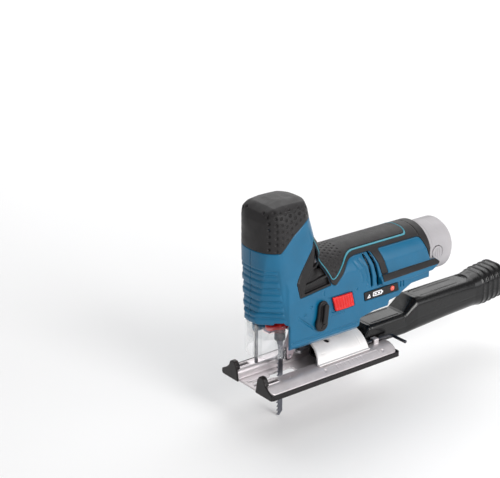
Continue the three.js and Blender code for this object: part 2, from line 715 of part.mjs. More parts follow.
// ---- battery pack -----------------------------------------------------------------------------------
function triangleOutline(radius, corner, count = 8) {
  const points = [];
  for (let i = 0; i < 3; i++) {
    const a = Math.PI / 2 + i * 2 * Math.PI / 3;
    points.push(...ring(
      corner, count, (radius - corner) * Math.cos(a), barrelZ + (radius - corner) * Math.sin(a),
      a - Math.PI / 3, 2 * Math.PI / 3,
    ));
  }
  return points;
}

function batteryShell() {
  const insert = alongY(triangleOutline(packRadius + 1, 12.6), packFront, barrelRear + 4);
  const cap = discY(batteryRadius, barrelRear + 1, batteryEnd - 4, 0, barrelZ, 36);
  const end = discY(batteryRadius - 3, batteryEnd - 5, batteryEnd, 0, barrelZ, 36);
  const room = alongY(
    triangleOutline(packRadius - 0.8, 10.8), packFront + 2, packFront + 2 + cellLength + 6,
  );
  const contactWindow = block(-8, 8, packFront - 1, packFront + 3, barrelZ - 5, barrelZ + 5);
  const buttonWells = [-1, 1].map((s) => discX(
    7, s > 0 ? 21.5 : -30, s > 0 ? 30 : -21.5, 172, barrelZ, 20,
  ));
  return cut(join(insert, cap, end), room, contactWindow, ...buttonWells);
}
add('battery_shell', batteryShell(), 'pack');

const cellOrbit = cellRadius * 2 / Math.sqrt(3) + 0.4;
for (let i = 0; i < 3; i++) {
  const a = Math.PI / 2 + i * 2 * Math.PI / 3;
  add(`battery_cell_${i + 1}`, discY(
    cellRadius, packFront + 3, packFront + 3 + cellLength,
    cellOrbit * Math.cos(a), barrelZ + cellOrbit * Math.sin(a), 20,
  ), 'steel');
}
for (const [name, sign] of [['battery_button_left', 1], ['battery_button_right', -1]]) {
  const cap = discX(6.6, 23.8, batteryRadius, 172, barrelZ, 18);
  add(name, sign > 0 ? cap : cap.mirror([1, 0, 0]), 'pack');
}

function contactBlock() {
  const base = block(-11, 11, packFront - 12, packFront - 4, barrelZ - 8, barrelZ + 8);
  const tongues = [-4.5, 0, 4.5].map((x) => block(
    x - 0.5, x + 0.5, packFront - 5, packFront + 2, barrelZ - 3.5, barrelZ + 3.5,
  ));
  return join(base, ...tongues);
}
add('contact_block', contactBlock(), 'black');

// ---- shoe, overshoe and bevel bracket ------------------------------------------------------------------
const shoeHalf = shoeWidth / 2;
const shoeFront = -bladeToShoeFront;
const shoeRear = shoeFront + shoeLength;
const edge = 1.8;                // overshoe wall round the plate
const hornTop = 18.5;            // top of the overshoe's two front hooks
const hornThickness = 1.4;
const lipHeight = 5.2;

function plateSection() {
  const outer = shoeHalf - edge - gap;
  const top = [[floorHalf - 0.4, sheet], [floorHalf, railHeight - 3], [floorHalf + 3, railHeight],
    [outer - 9.5, railHeight], [outer, lipHeight]];
  const under = [
    [outer, lipHeight - sheet], [outer - 10, railHeight - sheet], [floorHalf + 3.8, railHeight - sheet],
    [floorHalf + sheet, railHeight - 3.8], [floorHalf + sheet, 0]];
  return [...mirror(top), ...top, ...under, ...mirror(under)];
}

function shoePlate() {
  const plate = alongY(plateSection(), shoeFront + 0.4, shoeRear - edge - gap);
  const bladeSlot = alongZ([
    [-slotHalf, shoeFront + 8], [slotHalf, shoeFront + 8], [slotHalf, 18], [-slotHalf, 18],
  ], -1, 4);
  const windows = [-1, 1].map((s) => block(s * 22 - 2.4, s * 22 + 2.4, -33, -20, 6, 14));
  const keyLug = cut(block(floorHalf + 1, floorHalf + 7.5, 98, 104, railHeight - 1, railHeight + 5.4),
    discY(1.75 + gap, 90, 110, floorHalf + 3.6, railHeight + 2.6, 12));
  return join(cut(plate, bladeSlot, ...windows), keyLug);
}
add('shoe_plate', shoePlate(), 'plate');

function overshoe() {
  const hornSection = [
    [floorHalf - 1, 0], [shoeHalf, 0], [shoeHalf, lipHeight], [shoeHalf - 9, 10.5],
    [24, hornTop - 1], [20.5, hornTop], [17.5, hornTop - 2], [15.5, railHeight],
  ];
  const inner = floorHalf + sheet + gap;
  const skid = [[inner, 0], [shoeHalf, 0], [shoeHalf, lipHeight], [shoeHalf - edge, lipHeight],
    [shoeHalf - edge, skidHeight], [inner, skidHeight]];
  const pieces = [];
  for (const side of [(p) => p, mirror]) {
    pieces.push(alongY(side(skid), shoeFront, shoeRear));
    pieces.push(alongY(side(hornSection), shoeFront - hornThickness, shoeFront));
    pieces.push(alongY(
      side([[inner, 0], [shoeHalf, 0], [shoeHalf, lipHeight], [inner, lipHeight]]), shoeRear - edge,
      shoeRear,
    ));
  }
  pieces.push(block(-inner - 1, inner + 1, shoeRear - edge, shoeRear, 0, pipeFloor - gap));
  return join(...pieces);
}
add('overshoe', overshoe(), 'black');

function bevelBracket() {
  const low = railHeight + gap;
  const reach = Math.sqrt(archRadius ** 2 - low ** 2);
  const spread = Math.atan2(low, reach);
  const outer = ring(archRadius, 21, 0, 0, spread, Math.PI - 2 * spread);
  const inner = ring(archRadius - sheet, 21, 0, 0, spread + 0.02, Math.PI - 2 * spread - 0.04).reverse();
  const arch = alongY([...outer, ...inner], archFront, archRear);
  const slant = alongX(
    [[archFront - 5, archRadius + 5], [archFront - 5, 5], [archFront, 8], [archFront + 10, archRadius + 5]],
    -40, 40,
  );
  const feet = [1, -1].map((s) => {
    const foot = block(reach - 3, reach + 1.6, archFront + 2, archRear, low, low + 1.2);
    return s > 0 ? foot : foot.mirror([1, 0, 0]);
  });
  const clear = discY(archRadius - sheet, 0, 120, 0, 0, 72);
  const detents = [-19, 19].map((deg) => {
    const a = deg * Math.PI / 180;
    return discZ(2.6, 10, 40, archRadius * Math.sin(a), 48, 14);
  });
  const below = block(-40, 40, 0, 120, 0, low);
  return cut(join(arch, ...feet.map((f) => cut(f, clear))), slant, below, ...detents);
}
add('bevel_bracket', bevelBracket(), 'plate');

function clampBar() {
  const inner = archRadius - sheet - gap;
  const bar = block(-6, 6, 25, 56, inner - 3.4, inner + 2).intersect(discY(inner, 20, 60, 0, 0, 72));
  const post = block(
    -6, 6, 18.6, 25.4, inner - 3.4, archRadius + 1,
  ).intersect(discY(archRadius, 10, 40, 0, 0, 72));
  return cut(join(bar, post), discZ(bevelScrewRadius + gap, 10, 40, 0, bevelScrewY, 12));
}
add('bevel_clamp', clampBar(), 'dark_steel');

const bevelHeadRadius = 3.6;
const bevelHeadHeight = 3.4;
const bevelHexRadius = 2;
function bevelScrew() {
  const under = archRadius - sheet - gap - bevelHeadHeight - gap;
  const head = cut(
    discZ(bevelHeadRadius, under - bevelHeadHeight, under, 0, bevelScrewY, 18),
    discZ(bevelHexRadius, under - 5, under - 1.4, 0, bevelScrewY, 6),
  );
  return join(head, discZ(bevelScrewRadius, under - 1, archRadius + 9, 0, bevelScrewY, 12));
}
add('bevel_screw', bevelScrew(), 'steel');

const keyRadius = 1.75;
const keyFront = 62;
const keyBend = 122.2;           // where the short arm turns out
const keyReach = 38.5;
function hexKey() {
  const x = floorHalf + 3.6;
  const z = railHeight + 2.6;
  const long = discY(keyRadius, keyFront, keyBend + keyRadius + 0.05, x, z, 6);
  const short = discX(keyRadius, x, keyReach, keyBend, z, 6);
  return join(long, short);
}
add('hex_key', hexKey(), 'dark_steel');

// ---- dust pipe ------------------------------------------------------------------------------------------
// A flat duct under the bracket, a rising elbow behind the shoe and a ribbed hose end.
function ductSection(half, low, high, corner) {
  return [
    [half, low + corner], [half, high - corner], [half - corner, high], [-half + corner, high],
    [-half, high - corner], [-half, low + corner], [-half + corner, low], [half - corner, low],
  ];
}

const pipeStations = [
  { y: 46, half: ductHalf, low: pipeFloor, high: 15.5, corner: 3 },
  { y: 92, half: ductHalf, low: pipeFloor, high: 15.8, corner: 3 },
  { y: 98, half: pipeHalf, low: 5.2, high: 27, corner: 5 },
  { y: 146, half: pipeHalf, low: 5, high: 27.5, corner: 5 },
  { y: 160, half: pipeHalf + 1, low: 5, high: 39, corner: 8 },
  { y: 205, half: pipeHalf + 1, low: 7, high: 39.5, corner: 8 },
  { y: 240, half: pipeHalf + 1.4, low: 7.5, high: 40, corner: 10 },
  { y: 252, half: pipeHalf + 2.6, low: 7, high: 42, corner: 11 },
  { y: 281, half: pipeHalf + 2.6, low: 10, high: 45, corner: 11 },
];

function pipeLoft(inset, startShift, endShift) {
  const rings = pipeStations.map((s, i) => {
    const y = s.y + (i === 0 ? startShift : 0) + (i === pipeStations.length - 1 ? endShift : 0);
    const outline = ductSection(s.half - inset, s.low + inset, s.high - inset, s.corner);
    return { z: y, points: outline.map(([x, z]) => [x, -z]).reverse() };
  });
  const solid = loft(rings);
  return solid.rotate([-90, 0, 0]);
}

function dustPipe() {
  const outer = pipeLoft(0, 0, 0);
  const ribs = [256, 263, 270, 277].map((y) => {
    const rise = 3 * (y - 252) / 29;
    return alongY(ductSection(pipeHalf + 3.8, 6 + rise, 43.2 + rise, 11.5), y, y + 2.2);
  });
  return cut(join(outer, ...ribs), pipeLoft(pipeWall, -3, 3));
}
add('dust_pipe', dustPipe(), 'black');

// ---- the whole saw, moved so that the shoe's centre is the origin ---------------------------------------
const bladeLine = bladeToShoeFront - shoeLength / 2;
holder.position.y = bladeLine;
const jigsaw = new THREE.Group();
jigsaw.add(holder);

export default jigsaw;
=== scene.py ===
"""Looks of a compact cordless jigsaw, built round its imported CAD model.

Shapes are written in millimetres from the blade line (y = 0 there, z = 0 on the sole) and are
turned into meshes in metres, in the frame of the CAD model. Moulded pieces are distance fields
sampled on a grid and meshed by dual contouring; sheet and bar stock is swept or extruded.
"""

import math

import bpy
import numpy as np
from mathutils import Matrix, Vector


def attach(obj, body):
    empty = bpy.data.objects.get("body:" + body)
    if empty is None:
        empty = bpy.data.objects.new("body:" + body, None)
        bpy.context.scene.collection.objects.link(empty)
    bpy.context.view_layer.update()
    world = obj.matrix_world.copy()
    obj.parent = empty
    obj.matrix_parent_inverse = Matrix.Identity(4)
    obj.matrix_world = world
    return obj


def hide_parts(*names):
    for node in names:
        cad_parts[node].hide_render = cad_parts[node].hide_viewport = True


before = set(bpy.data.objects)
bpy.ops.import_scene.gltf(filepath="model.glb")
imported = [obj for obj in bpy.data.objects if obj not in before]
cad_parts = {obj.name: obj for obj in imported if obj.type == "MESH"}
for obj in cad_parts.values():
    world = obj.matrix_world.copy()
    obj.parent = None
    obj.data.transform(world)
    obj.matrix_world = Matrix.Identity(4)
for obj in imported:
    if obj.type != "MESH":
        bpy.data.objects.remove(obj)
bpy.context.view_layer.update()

MM = 0.001
BLADE_LINE = -40.0  # the blade line's place in the CAD frame, along y
DETAIL = 1.0  # coarser grids while trying things
CELL_MARGIN = 0.02  # a vertex stays this far inside its grid cell, in cells
PULL = 0.9  # share of the way to the surface that one settling step takes


# ---- distance fields ----
class Grid:
    """Open coordinate arrays of a box, in millimetres from the blade line."""

    def __init__(self, low, high, step):
        step *= DETAIL
        self.step = step
        self.low = np.array(low, float) - 2 * step
        counts = np.ceil((np.array(high, float) + 2 * step - self.low) / step).astype(int) + 1
        axes = [self.low[i] + step * np.arange(counts[i]) for i in range(3)]
        self.x = axes[0].astype(np.float32)[:, None, None]
        self.y = axes[1].astype(np.float32)[None, :, None]
        self.z = axes[2].astype(np.float32)[None, None, :]
        self.shape = tuple(counts)


def join(*fields):
    out = fields[0]
    for field in fields[1:]:
        out = np.minimum(out, field)
    return out


def both(*fields):
    out = fields[0]
    for field in fields[1:]:
        out = np.maximum(out, field)
    return out


def cut(field, *tools):
    for tool in tools:
        field = np.maximum(field, -tool)
    return field


def soft_both(a, b, k):
    h = np.maximum(k - np.abs(a - b), 0) / k
    return np.maximum(a, b) + h * h * k * 0.25


def soft_join(a, b, k):
    return -soft_both(-a, -b, k)


def soft_cut(field, tool, k):
    return soft_both(field, -tool, k)


def outline(u, v, points):
    """Signed distance to a closed outline in one plane, negative inside."""
    u, v = np.broadcast_arrays(u, v)
    best = np.full(u.shape, 1e9, np.float32)
    inside = np.zeros(u.shape, bool)
    for (u0, v0), (u1, v1) in zip(points, points[1:] + points[:1]):
        du, dv = u1 - u0, v1 - v0
        along = np.clip(((u - u0) * du + (v - v0) * dv) / max(du * du + dv * dv, 1e-9), 0, 1)
        best = np.minimum(best, (u - u0 - along * du) ** 2 + (v - v0 - along * dv) ** 2)
        if abs(dv) > 1e-9:
            crossing = (v >= min(v0, v1)) & (v < max(v0, v1))
            inside ^= crossing & (u < u0 + (v - v0) * du / dv)
    best = np.sqrt(best)
    return np.where(inside, -best, best).astype(np.float32)


def stroke(u, v, points, half):
    """Distance to a bent line of that half width."""
    best = None
    for (u0, v0), (u1, v1) in zip(points, points[1:]):
        du, dv = u1 - u0, v1 - v0
        along = np.clip(((u - u0) * du + (v - v0) * dv) / max(du * du + dv * dv, 1e-9), 0, 1)
        gone = np.hypot(u - u0 - along * du, v - v0 - along * dv)
        best = gone if best is None else np.minimum(best, gone)
    return best - half


def rounded(points, radius, steps=5):
    """The outline with its corners rounded. radius is one number or one for each corner."""
    radii = radius if isinstance(radius, (list, tuple)) else [radius] * len(points)
    made = []
    for i, (here, r) in enumerate(zip(points, radii)):
        here = Vector(here)
        before, after = Vector(points[i - 1]), Vector(points[(i + 1) % len(points)])
        if r <= 0:
            made.append(tuple(here))
            continue
        back, on = before - here, after - here
        reach = min(r, 0.48 * back.length, 0.48 * on.length)
        start, end = here + back.normalized() * reach, here + on.normalized() * reach
        for k in range(steps + 1):
            t = k / steps
            made.append(tuple((1 - t) ** 2 * start + 2 * t * (1 - t) * here + t * t * end))
    return made


def slab(u, low, high):
    return np.abs(u - (low + high) / 2) - (high - low) / 2


def tube(u, v, centre, radius):
    """Distance to a round bar seen end on."""
    return np.hypot(u - centre[0], v - centre[1]) - radius


def left_right(stem, sign):
    return stem + ("_left" if sign > 0 else "_right")


def span(sign, low, high):
    """That stretch of x on the near side, or its mirror image on the far side."""
    return (low, high) if sign > 0 else (-high, -low)


def brick(g, x0, x1, y0, y1, z0, z1, radius=0.0):
    qx = slab(g.x, x0 + radius, x1 - radius)
    qy = slab(g.y, y0 + radius, y1 - radius)
    qz = slab(g.z, z0 + radius, z1 - radius)
    if not radius:
        return both(qx, qy, qz)
    out = np.sqrt(np.maximum(qx, 0) ** 2 + np.maximum(qy, 0) ** 2 + np.maximum(qz, 0) ** 2)
    return out + np.minimum(both(qx, qy, qz), 0) - radius


# ---- meshing ----
def contour(field, g):
    """Vertices (millimetres) and quads of the field's zero surface."""
    field = np.ascontiguousarray(np.broadcast_to(field, g.shape), dtype=np.float32)
    field = np.where(field == 0, np.float32(1e-5), field)
    for axis in range(3):
        ends = [slice(None)] * 3
        for end in (0, -1):
            ends[axis] = end
            field[tuple(ends)] = np.maximum(field[tuple(ends)], 1e-3)
    cells = np.array(field.shape)
    stride = np.array([cells[1] * cells[2], cells[2], 1])
    flat = field.ravel()
    total = flat.size
    sums = np.zeros((total, 3))
    counts = np.zeros(total)
    edges = []
    for axis in range(3):
        low_side = [slice(None)] * 3
        high_side = [slice(None)] * 3
        low_side[axis] = slice(0, -1)
        high_side[axis] = slice(1, None)
        a, b = field[tuple(low_side)], field[tuple(high_side)]
        at = np.argwhere((a < 0) != (b < 0))
        va = a[tuple(at.T)]
        vb = b[tuple(at.T)]
        place = at.astype(float)
        place[:, axis] += va / (va - vb)
        others = [k for k in range(3) if k != axis]
        if axis == 1:
            others = [2, 0]
        around = []
        for s, t in ((0, 0), (1, 0), (1, 1), (0, 1)):
            corner = at.copy()
            corner[:, others[0]] -= s
            corner[:, others[1]] -= t
            cell = corner @ stride
            around.append(cell)
            for k in range(3):
                sums[:, k] += np.bincount(cell, place[:, k], total)
            counts += np.bincount(cell, minlength=total)
        quads = np.stack(around, 1)
        flip = va > 0
        quads[flip] = quads[flip][:, ::-1]
        edges.append(quads)
    used = np.nonzero(counts)[0]
    number = np.full(total, -1, np.int64)
    number[used] = np.arange(len(used))
    verts = sums[used] / counts[used, None]
    verts = settle(field, verts, used, cells)
    quads = number[np.concatenate(edges)]
    return verts * g.step + g.low, quads[:, ::-1]


def settle(field, verts, used, cells):
    """Moves each vertex onto the zero surface along the field's slope, inside its own cell."""
    home = np.stack(np.unravel_index(used, tuple(cells)), 1).astype(float)
    top = cells - 2.001
    for _ in range(2):
        base = np.clip(np.floor(verts), 0, cells - 2).astype(int)
        f = np.clip(verts - base, 0, 1)
        corner = [
            field[base[:, 0] + i, base[:, 1] + j, base[:, 2] + k]
            for i in (0, 1) for j in (0, 1) for k in (0, 1)
        ]
        c = np.stack(corner, 1).reshape(-1, 2, 2, 2)
        fx, fy, fz = f[:, 0], f[:, 1], f[:, 2]
        cx = c[:, 0] * (1 - fx)[:, None, None] + c[:, 1] * fx[:, None, None]
        cxy = cx[:, 0] * (1 - fy)[:, None] + cx[:, 1] * fy[:, None]
        value = cxy[:, 0] * (1 - fz) + cxy[:, 1] * fz
        dz = cxy[:, 1] - cxy[:, 0]
        dyz = cx[:, 1] - cx[:, 0]
        dy = dyz[:, 0] * (1 - fz) + dyz[:, 1] * fz
        dxx = c[:, 1] - c[:, 0]
        dxy = dxx[:, 0] * (1 - fy)[:, None] + dxx[:, 1] * fy[:, None]
        dx = dxy[:, 0] * (1 - fz) + dxy[:, 1] * fz
        slope = np.stack([dx, dy, dz], 1)
        size = np.maximum((slope ** 2).sum(1), 1e-6)
        verts = verts - (value / size)[:, None] * slope * PULL
        verts = np.clip(verts, home + CELL_MARGIN, home + (1 - CELL_MARGIN))
        verts = np.clip(verts, 0, top + 1)
    return verts


def mesh_object(name, verts, faces, smooth=True):
    """An object from vertices in millimetres from the blade line."""
    verts = np.asarray(verts, float)
    verts = (verts + [0, BLADE_LINE, 0]) * MM
    mesh = bpy.data.meshes.new(name)
    mesh.from_pydata(verts.tolist(), [], [list(map(int, f)) for f in faces])
    mesh.validate()
    if smooth:
        mesh.polygons.foreach_set("use_smooth", np.ones(len(mesh.polygons), bool))
    obj = bpy.data.objects.new(name, mesh)
    bpy.context.scene.collection.objects.link(obj)
    return obj


def keep_main(verts, quads, smallest=40):
    """Drops loose crumbs of fewer quads than that."""
    parent = np.arange(len(verts))

    def root(labels):
        while True:
            nxt = labels[labels]
            if (nxt == labels).all():
                return labels
            labels = nxt

    for _ in range(60):
        low = parent[quads].min(1)
        new = parent.copy()
        for k in range(4):
            np.minimum.at(new, quads[:, k], low)
        new = root(new)
        if (new == parent).all():
            break
        parent = new
    label = parent[quads[:, 0]]
    names, counts = np.unique(label, return_counts=True)
    return quads[np.isin(label, names[counts >= smallest])]


def moulded(name, field, g, body, stands_for, material, smallest=40):
    verts, quads = contour(field, g)
    quads = keep_main(verts, quads, smallest)
    used = np.unique(quads)
    number = np.full(len(verts), -1)
    number[used] = np.arange(len(used))
    obj = mesh_object(name, verts[used], number[quads])
    return placed(obj, body, stands_for, material)


def placed(obj, body, stands_for, material):
    obj.data.materials.append(material.material)
    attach(obj, body)
    if stands_for:
        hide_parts(*stands_for)
    return obj


# ---- materials ----
def rgb(r, g, b):
    """Linear colour from 0-255 display values."""
    def channel(v):
        v /= 255
        return v / 12.92 if v <= 0.04045 else ((v + 0.055) / 1.055) ** 2.4
    return (channel(r), channel(g), channel(b), 1)


class Finish:
    """A Principled material with colour drift, roughness drift and grain in its bump."""

    def __init__(self, name, color, roughness, metallic=0.0):
        self.material = bpy.data.materials.new(name)
        self.material.use_nodes = True
        self.nodes = self.material.node_tree.nodes
        self.links = self.material.node_tree.links
        self.shader = self.nodes["Principled BSDF"]
        self.shader.inputs["Base Color"].default_value = color
        self.shader.inputs["Roughness"].default_value = roughness
        self.shader.inputs["Metallic"].default_value = metallic
        self.base = color
        self.color = color
        self.place = self.nodes.new("ShaderNodeTexCoord").outputs["Object"]
        self.normal = None

    def link(self, a, b):
        self.links.new(a, b)

    def noise(self, scale, detail=3.0, rough=0.5, stretch=None):
        """Noise of that many features per metre, drawn out along an axis if stretch says so."""
        node = self.nodes.new("ShaderNodeTexNoise")
        node.inputs["Scale"].default_value = scale
        node.inputs["Detail"].default_value = detail
        node.inputs["Roughness"].default_value = rough
        source = self.place
        if stretch:
            mapping = self.nodes.new("ShaderNodeMapping")
            mapping.inputs["Scale"].default_value = stretch
            self.link(source, mapping.inputs["Vector"])
            source = mapping.outputs["Vector"]
        self.link(source, node.inputs["Vector"])
        return node.outputs["Fac"]

    def ramp(self, value, low, high, to_low=0.0, to_high=1.0):
        node = self.nodes.new("ShaderNodeMapRange")
        node.inputs["From Min"].default_value = low
        node.inputs["From Max"].default_value = high
        node.inputs["To Min"].default_value = to_low
        node.inputs["To Max"].default_value = to_high
        self.link(value, node.inputs["Value"])
        return node.outputs["Result"]

    def mixed(self, factor, first, second):
        node = self.nodes.new("ShaderNodeMix")
        node.data_type = "RGBA"
        self.link(factor, node.inputs["Factor"])
        for socket, value in ((node.inputs["A"], first), (node.inputs["B"], second)):
            if isinstance(value, tuple):
                socket.default_value = value
            else:
                self.link(value, socket)
        return node.outputs["Result"]

    def drift(self, scale, amount):
        """Slow colour variation between a lighter and a darker tone of the base."""
        darker = tuple(c * (1 - amount) for c in self.base[:3]) + (1,)
        lighter = tuple(min(c * (1 + amount * 0.6), 1) for c in self.base[:3]) + (1,)
        fac = self.ramp(self.noise(scale, 4), 0.3, 0.7)
        self.color = self.mixed(fac, lighter, darker)
        self.link(self.color, self.shader.inputs["Base Color"])
        return self

    def edge_wear_and_highlight(self, color, amount):
        """Lighter tone along raised edges, broken up by noise: slight wear and painted highlight."""
        # painted highlight with slight wear: convex edges are pulled towards the given lighter colour
        geometry = self.nodes.new("ShaderNodeNewGeometry")
        raised = self.ramp(geometry.outputs["Pointiness"], 0.532, 0.58, 0, amount)
        broken = self.ramp(self.noise(900, 3), 0.4, 0.62, 0.25, 1)
        both_of = self.nodes.new("ShaderNodeMath")
        both_of.operation = "MULTIPLY"
        self.link(raised, both_of.inputs[0])
        self.link(broken, both_of.inputs[1])
        self.color = self.mixed(both_of.outputs[0], self.color, color)
        self.link(self.color, self.shader.inputs["Base Color"])
        return self

    def sheen_spots(self, scale, low, high):
        """Roughness varies slowly between those two values."""
        value = self.ramp(self.noise(scale, 4, 0.6), 0.32, 0.68, low, high)
        self.link(value, self.shader.inputs["Roughness"])
        return self

    def relief(self, height, depth):
        """Bump from that height, over the relief already there; depth is in millimetres."""
        bump = self.nodes.new("ShaderNodeBump")
        bump.inputs["Distance"].default_value = depth * MM
        bump.inputs["Strength"].default_value = 1.0
        self.link(height, bump.inputs["Height"])
        if self.normal is not None:
            self.link(self.normal, bump.inputs["Normal"])
        self.normal = bump.outputs["Normal"]
        self.link(self.normal, self.shader.inputs["Normal"])
        return self

    def grain(self, scale, depth, stretch=None, detail=2.0):
        """Fine noise of that many features per metre."""
        return self.relief(self.noise(scale, detail, 0.5, stretch), depth)

    def pits(self, scale, depth):
        """Fine cellular relief, as spark-eroded mould texture leaves."""
        cells = self.nodes.new("ShaderNodeTexVoronoi")
        cells.inputs["Scale"].default_value = scale
        self.link(self.place, cells.inputs["Vector"])
        return self.relief(cells.outputs["Distance"], depth)

    def set(self, **values):
        for key, value in values.items():
            self.shader.inputs[key.replace("_", " ")].default_value = value
        return self


def moulded_plastic(name, color, rough, grain=1700, depth=0.035, wear_and_highlight=None):
    made = Finish(name, rgb(*color), rough).drift(38, 0.10)
    # edges lightened towards that colour: slight wear and painted highlight
    if wear_and_highlight:
        made.edge_wear_and_highlight(rgb(*wear_and_highlight), 0.45)
    made.sheen_spots(60, rough - 0.05, rough + 0.07)
    made.pits(grain, depth)
    made.grain(420, 0.02)
    return made


def rolled_metal(name, color, rough, stretch, scale=700, depth=0.012):
    made = Finish(name, rgb(*color), rough, 1.0).drift(45, 0.12)
    made.sheen_spots(90, rough - 0.06, rough + 0.1)
    made.grain(scale, depth, stretch, 3.0)
    return made


# the edge colour is a painted highlight tone of the blue, with slight wear
shell_blue = moulded_plastic("shell_blue", (2, 92, 128), 0.36, wear_and_highlight=(70, 148, 178)).set(
    Specular_IOR_Level=0.4, Coat_Weight=0.04, Coat_Roughness=0.3)
grip_rubber = Finish("grip_rubber", rgb(30, 28, 29), 0.5).drift(55, 0.16)
# lighter edges on the rubber: painted highlight with slight wear
grip_rubber.edge_wear_and_highlight(rgb(88, 85, 85), 0.3).sheen_spots(110, 0.42, 0.58)
grip_rubber.pits(2300, 0.05).grain(700, 0.03)
grip_rubber.set(Sheen_Weight=0.05, Sheen_Roughness=0.6, Specular_IOR_Level=0.28)
# edge colours below are painted highlight tones, with slight wear
black_plastic = moulded_plastic("black_plastic", (20, 18, 19), 0.36, wear_and_highlight=(82, 80, 82))
black_plastic.set(Specular_IOR_Level=0.32)
overshoe_plastic = moulded_plastic("overshoe_plastic", (26, 22, 23), 0.42, wear_and_highlight=(92, 88, 90))
overshoe_plastic.set(Specular_IOR_Level=0.32)
pipe_plastic = moulded_plastic("pipe_plastic", (12, 12, 13), 0.22, 1300, 0.02, wear_and_highlight=(74, 74, 78))
pipe_plastic.set(Specular_IOR_Level=0.4)
red_plastic = moulded_plastic("red_plastic", (208, 12, 6), 0.34, 1500, 0.02, wear_and_highlight=(255, 120, 104))
lamp_red = Finish("lamp_red", rgb(226, 96, 80), 0.22).drift(400, 0.2)
lamp_red.grain(2500, 0.02).set(Coat_Weight=0.5, Emission_Strength=0.1)
lamp_red.shader.inputs["Emission Color"].default_value = rgb(255, 70, 60)
icon_white = Finish("icon_white", rgb(238, 238, 240), 0.5).drift(300, 0.08).grain(2500, 0.01)
# edge colour: painted highlight tone, with slight wear
pack_plastic = moulded_plastic("pack_plastic", (166, 163, 166), 0.5, wear_and_highlight=(222, 220, 224))
steel = rolled_metal("steel", (196, 198, 202), 0.26, (1, 1, 0.08))
dark_steel = rolled_metal("dark_steel", (92, 92, 96), 0.34, (1, 1, 1), 1100, 0.02)
blade_steel = rolled_metal("blade_steel", (120, 122, 130), 0.30, (1, 1, 0.05), 1500, 0.015)
plate_steel = rolled_metal("plate_steel", (214, 208, 210), 0.42, (1, 0.05, 1), 1300, 0.004).set(Metallic=0.7)
bracket_steel = rolled_metal("bracket_steel", (240, 237, 236), 0.5, (1, 0.06, 1), 1300, 0.004)
bracket_steel.set(Metallic=0.4)
fork_steel = rolled_metal("fork_steel", (198, 184, 190), 0.42, (1, 1, 1), 900, 0.02)
copper = rolled_metal("copper_winding", (186, 112, 62), 0.36, (0.15, 1, 0.15), 2600, 0.09)
brass = rolled_metal("bush_bronze", (186, 152, 92), 0.40, (1, 1, 1), 1500, 0.03)
magnesium = Finish("cast_metal", rgb(168, 164, 168), 0.46, 0.85).drift(60, 0.15)
magnesium.sheen_spots(140, 0.40, 0.60).pits(1400, 0.06).grain(500, 0.06)
board_green = Finish("board_green", rgb(28, 88, 52), 0.4).drift(500, 0.3).grain(1500, 0.04)
board_green.set(Coat_Weight=0.4, Coat_Roughness=0.2)
clear = Finish("clear_plastic", rgb(238, 243, 246), 0.05).drift(60, 0.03)
clear.grain(60, 0.02).set(Transmission_Weight=0.95, IOR=1.46, Alpha=0.22)
wrap = Finish("cell_wrap", rgb(58, 120, 92), 0.3).drift(120, 0.15).sheen_spots(200, 0.24, 0.4)
wrap.grain(900, 0.04).set(Coat_Weight=0.3)


# ---- outer form of the housing ----
HEAD_HALF = 28.4
BACK_RADIUS = 28.6  # rounding of the head's rear corners, seen from above
BODY_HALF = 28.2
BARREL_Z = 88.5
BARREL_RADIUS = 29.5
MOUTH_RADIUS = 26.1  # the battery's way in
MOUTH_START = 107.0
BOSS_RADIUS = 4.2
SCREW_HEAD_RADIUS = 3.4
SCREW_RADIUS = 1.9
SKIN = 1.7  # how deep the soft grips are let into the shell
FIT = 0.12  # visible gap round a piece set into another
SEAM_HALF = 0.08  # half the gap between the housing halves
CORE_HALF = 14.0  # details of the sides reach in no further than this
WING_HALF = 32.2
BUTTON_Y = 172.0
KEY_X, KEY_Z = 17.3, 13.6  # the hex key's long arm
KEY_REACH = 122.2  # how far back the key's short arm lies

HEAD_SIDE = [
    (-35.0, 63.1), (-36.4, 66.5), (-36.7, 72.0), (-35.6, 78), (-35, 133), (-34.6, 150), (-32.9, 160),
    (-29.2, 168), (-22.5, 173.6), (-12, 176.7), (-2, 177), (8, 176.3), (17, 173), (24.5, 167.4),
    (29.3, 160), (32, 150), (36.5, 134), (43, 121), (50, 110), (50, 63.1),
]
HEAD_FRONT = [
    (-28.4, 50), (-28.4, 149), (-27.4, 159), (-24.2, 168), (-18, 174), (-9, 177), (9, 177),
    (18, 174), (24.2, 168), (27.4, 159), (28.4, 149), (28.4, 50),
]
BODY_SIDE = [
    (-10.6, 36.3), (71.3, 36.3), (73.3, 47.8), (89.6, 50.9), (107.7, 51.3), (108.9, 56.3),
    (120.5, 57.9), (127, 62), (137, 66.5), (160, 67.2), (160, 118.2), (20, 118.6), (-12.3, 104),
]
CAP_REGION = rounded([
    (-60, 133), (-20, 133), (-6, 147.2), (8.5, 157.4), (20, 156.5), (33, 149), (60, 149),
    (60, 200), (-60, 200),
], [0, 1, 1, 5, 4, 1, 0, 0, 0])
GRIP_REGION = rounded([
    (18.4, 135.6), (36.9, 91.2), (42, 88), (48.5, 95), (61, 109), (88, 109), (93.5, 97), (98.5, 84.6),
    (106.3, 84.9), (101, 97), (97.6, 109), (150, 109), (160.5, 85), (175, 85), (175, 130),
    (44, 130), (39.6, 137.5), (30, 141),
], [1, 4, 3, 4, 8, 1, 6, 1, 1, 6, 2, 3, 0, 0, 0, 2, 2, 1])
VENT_REGION = rounded([(-3.5, 101), (0.3, 86.3), (36.8, 90.1), (18, 135)], 1.2)
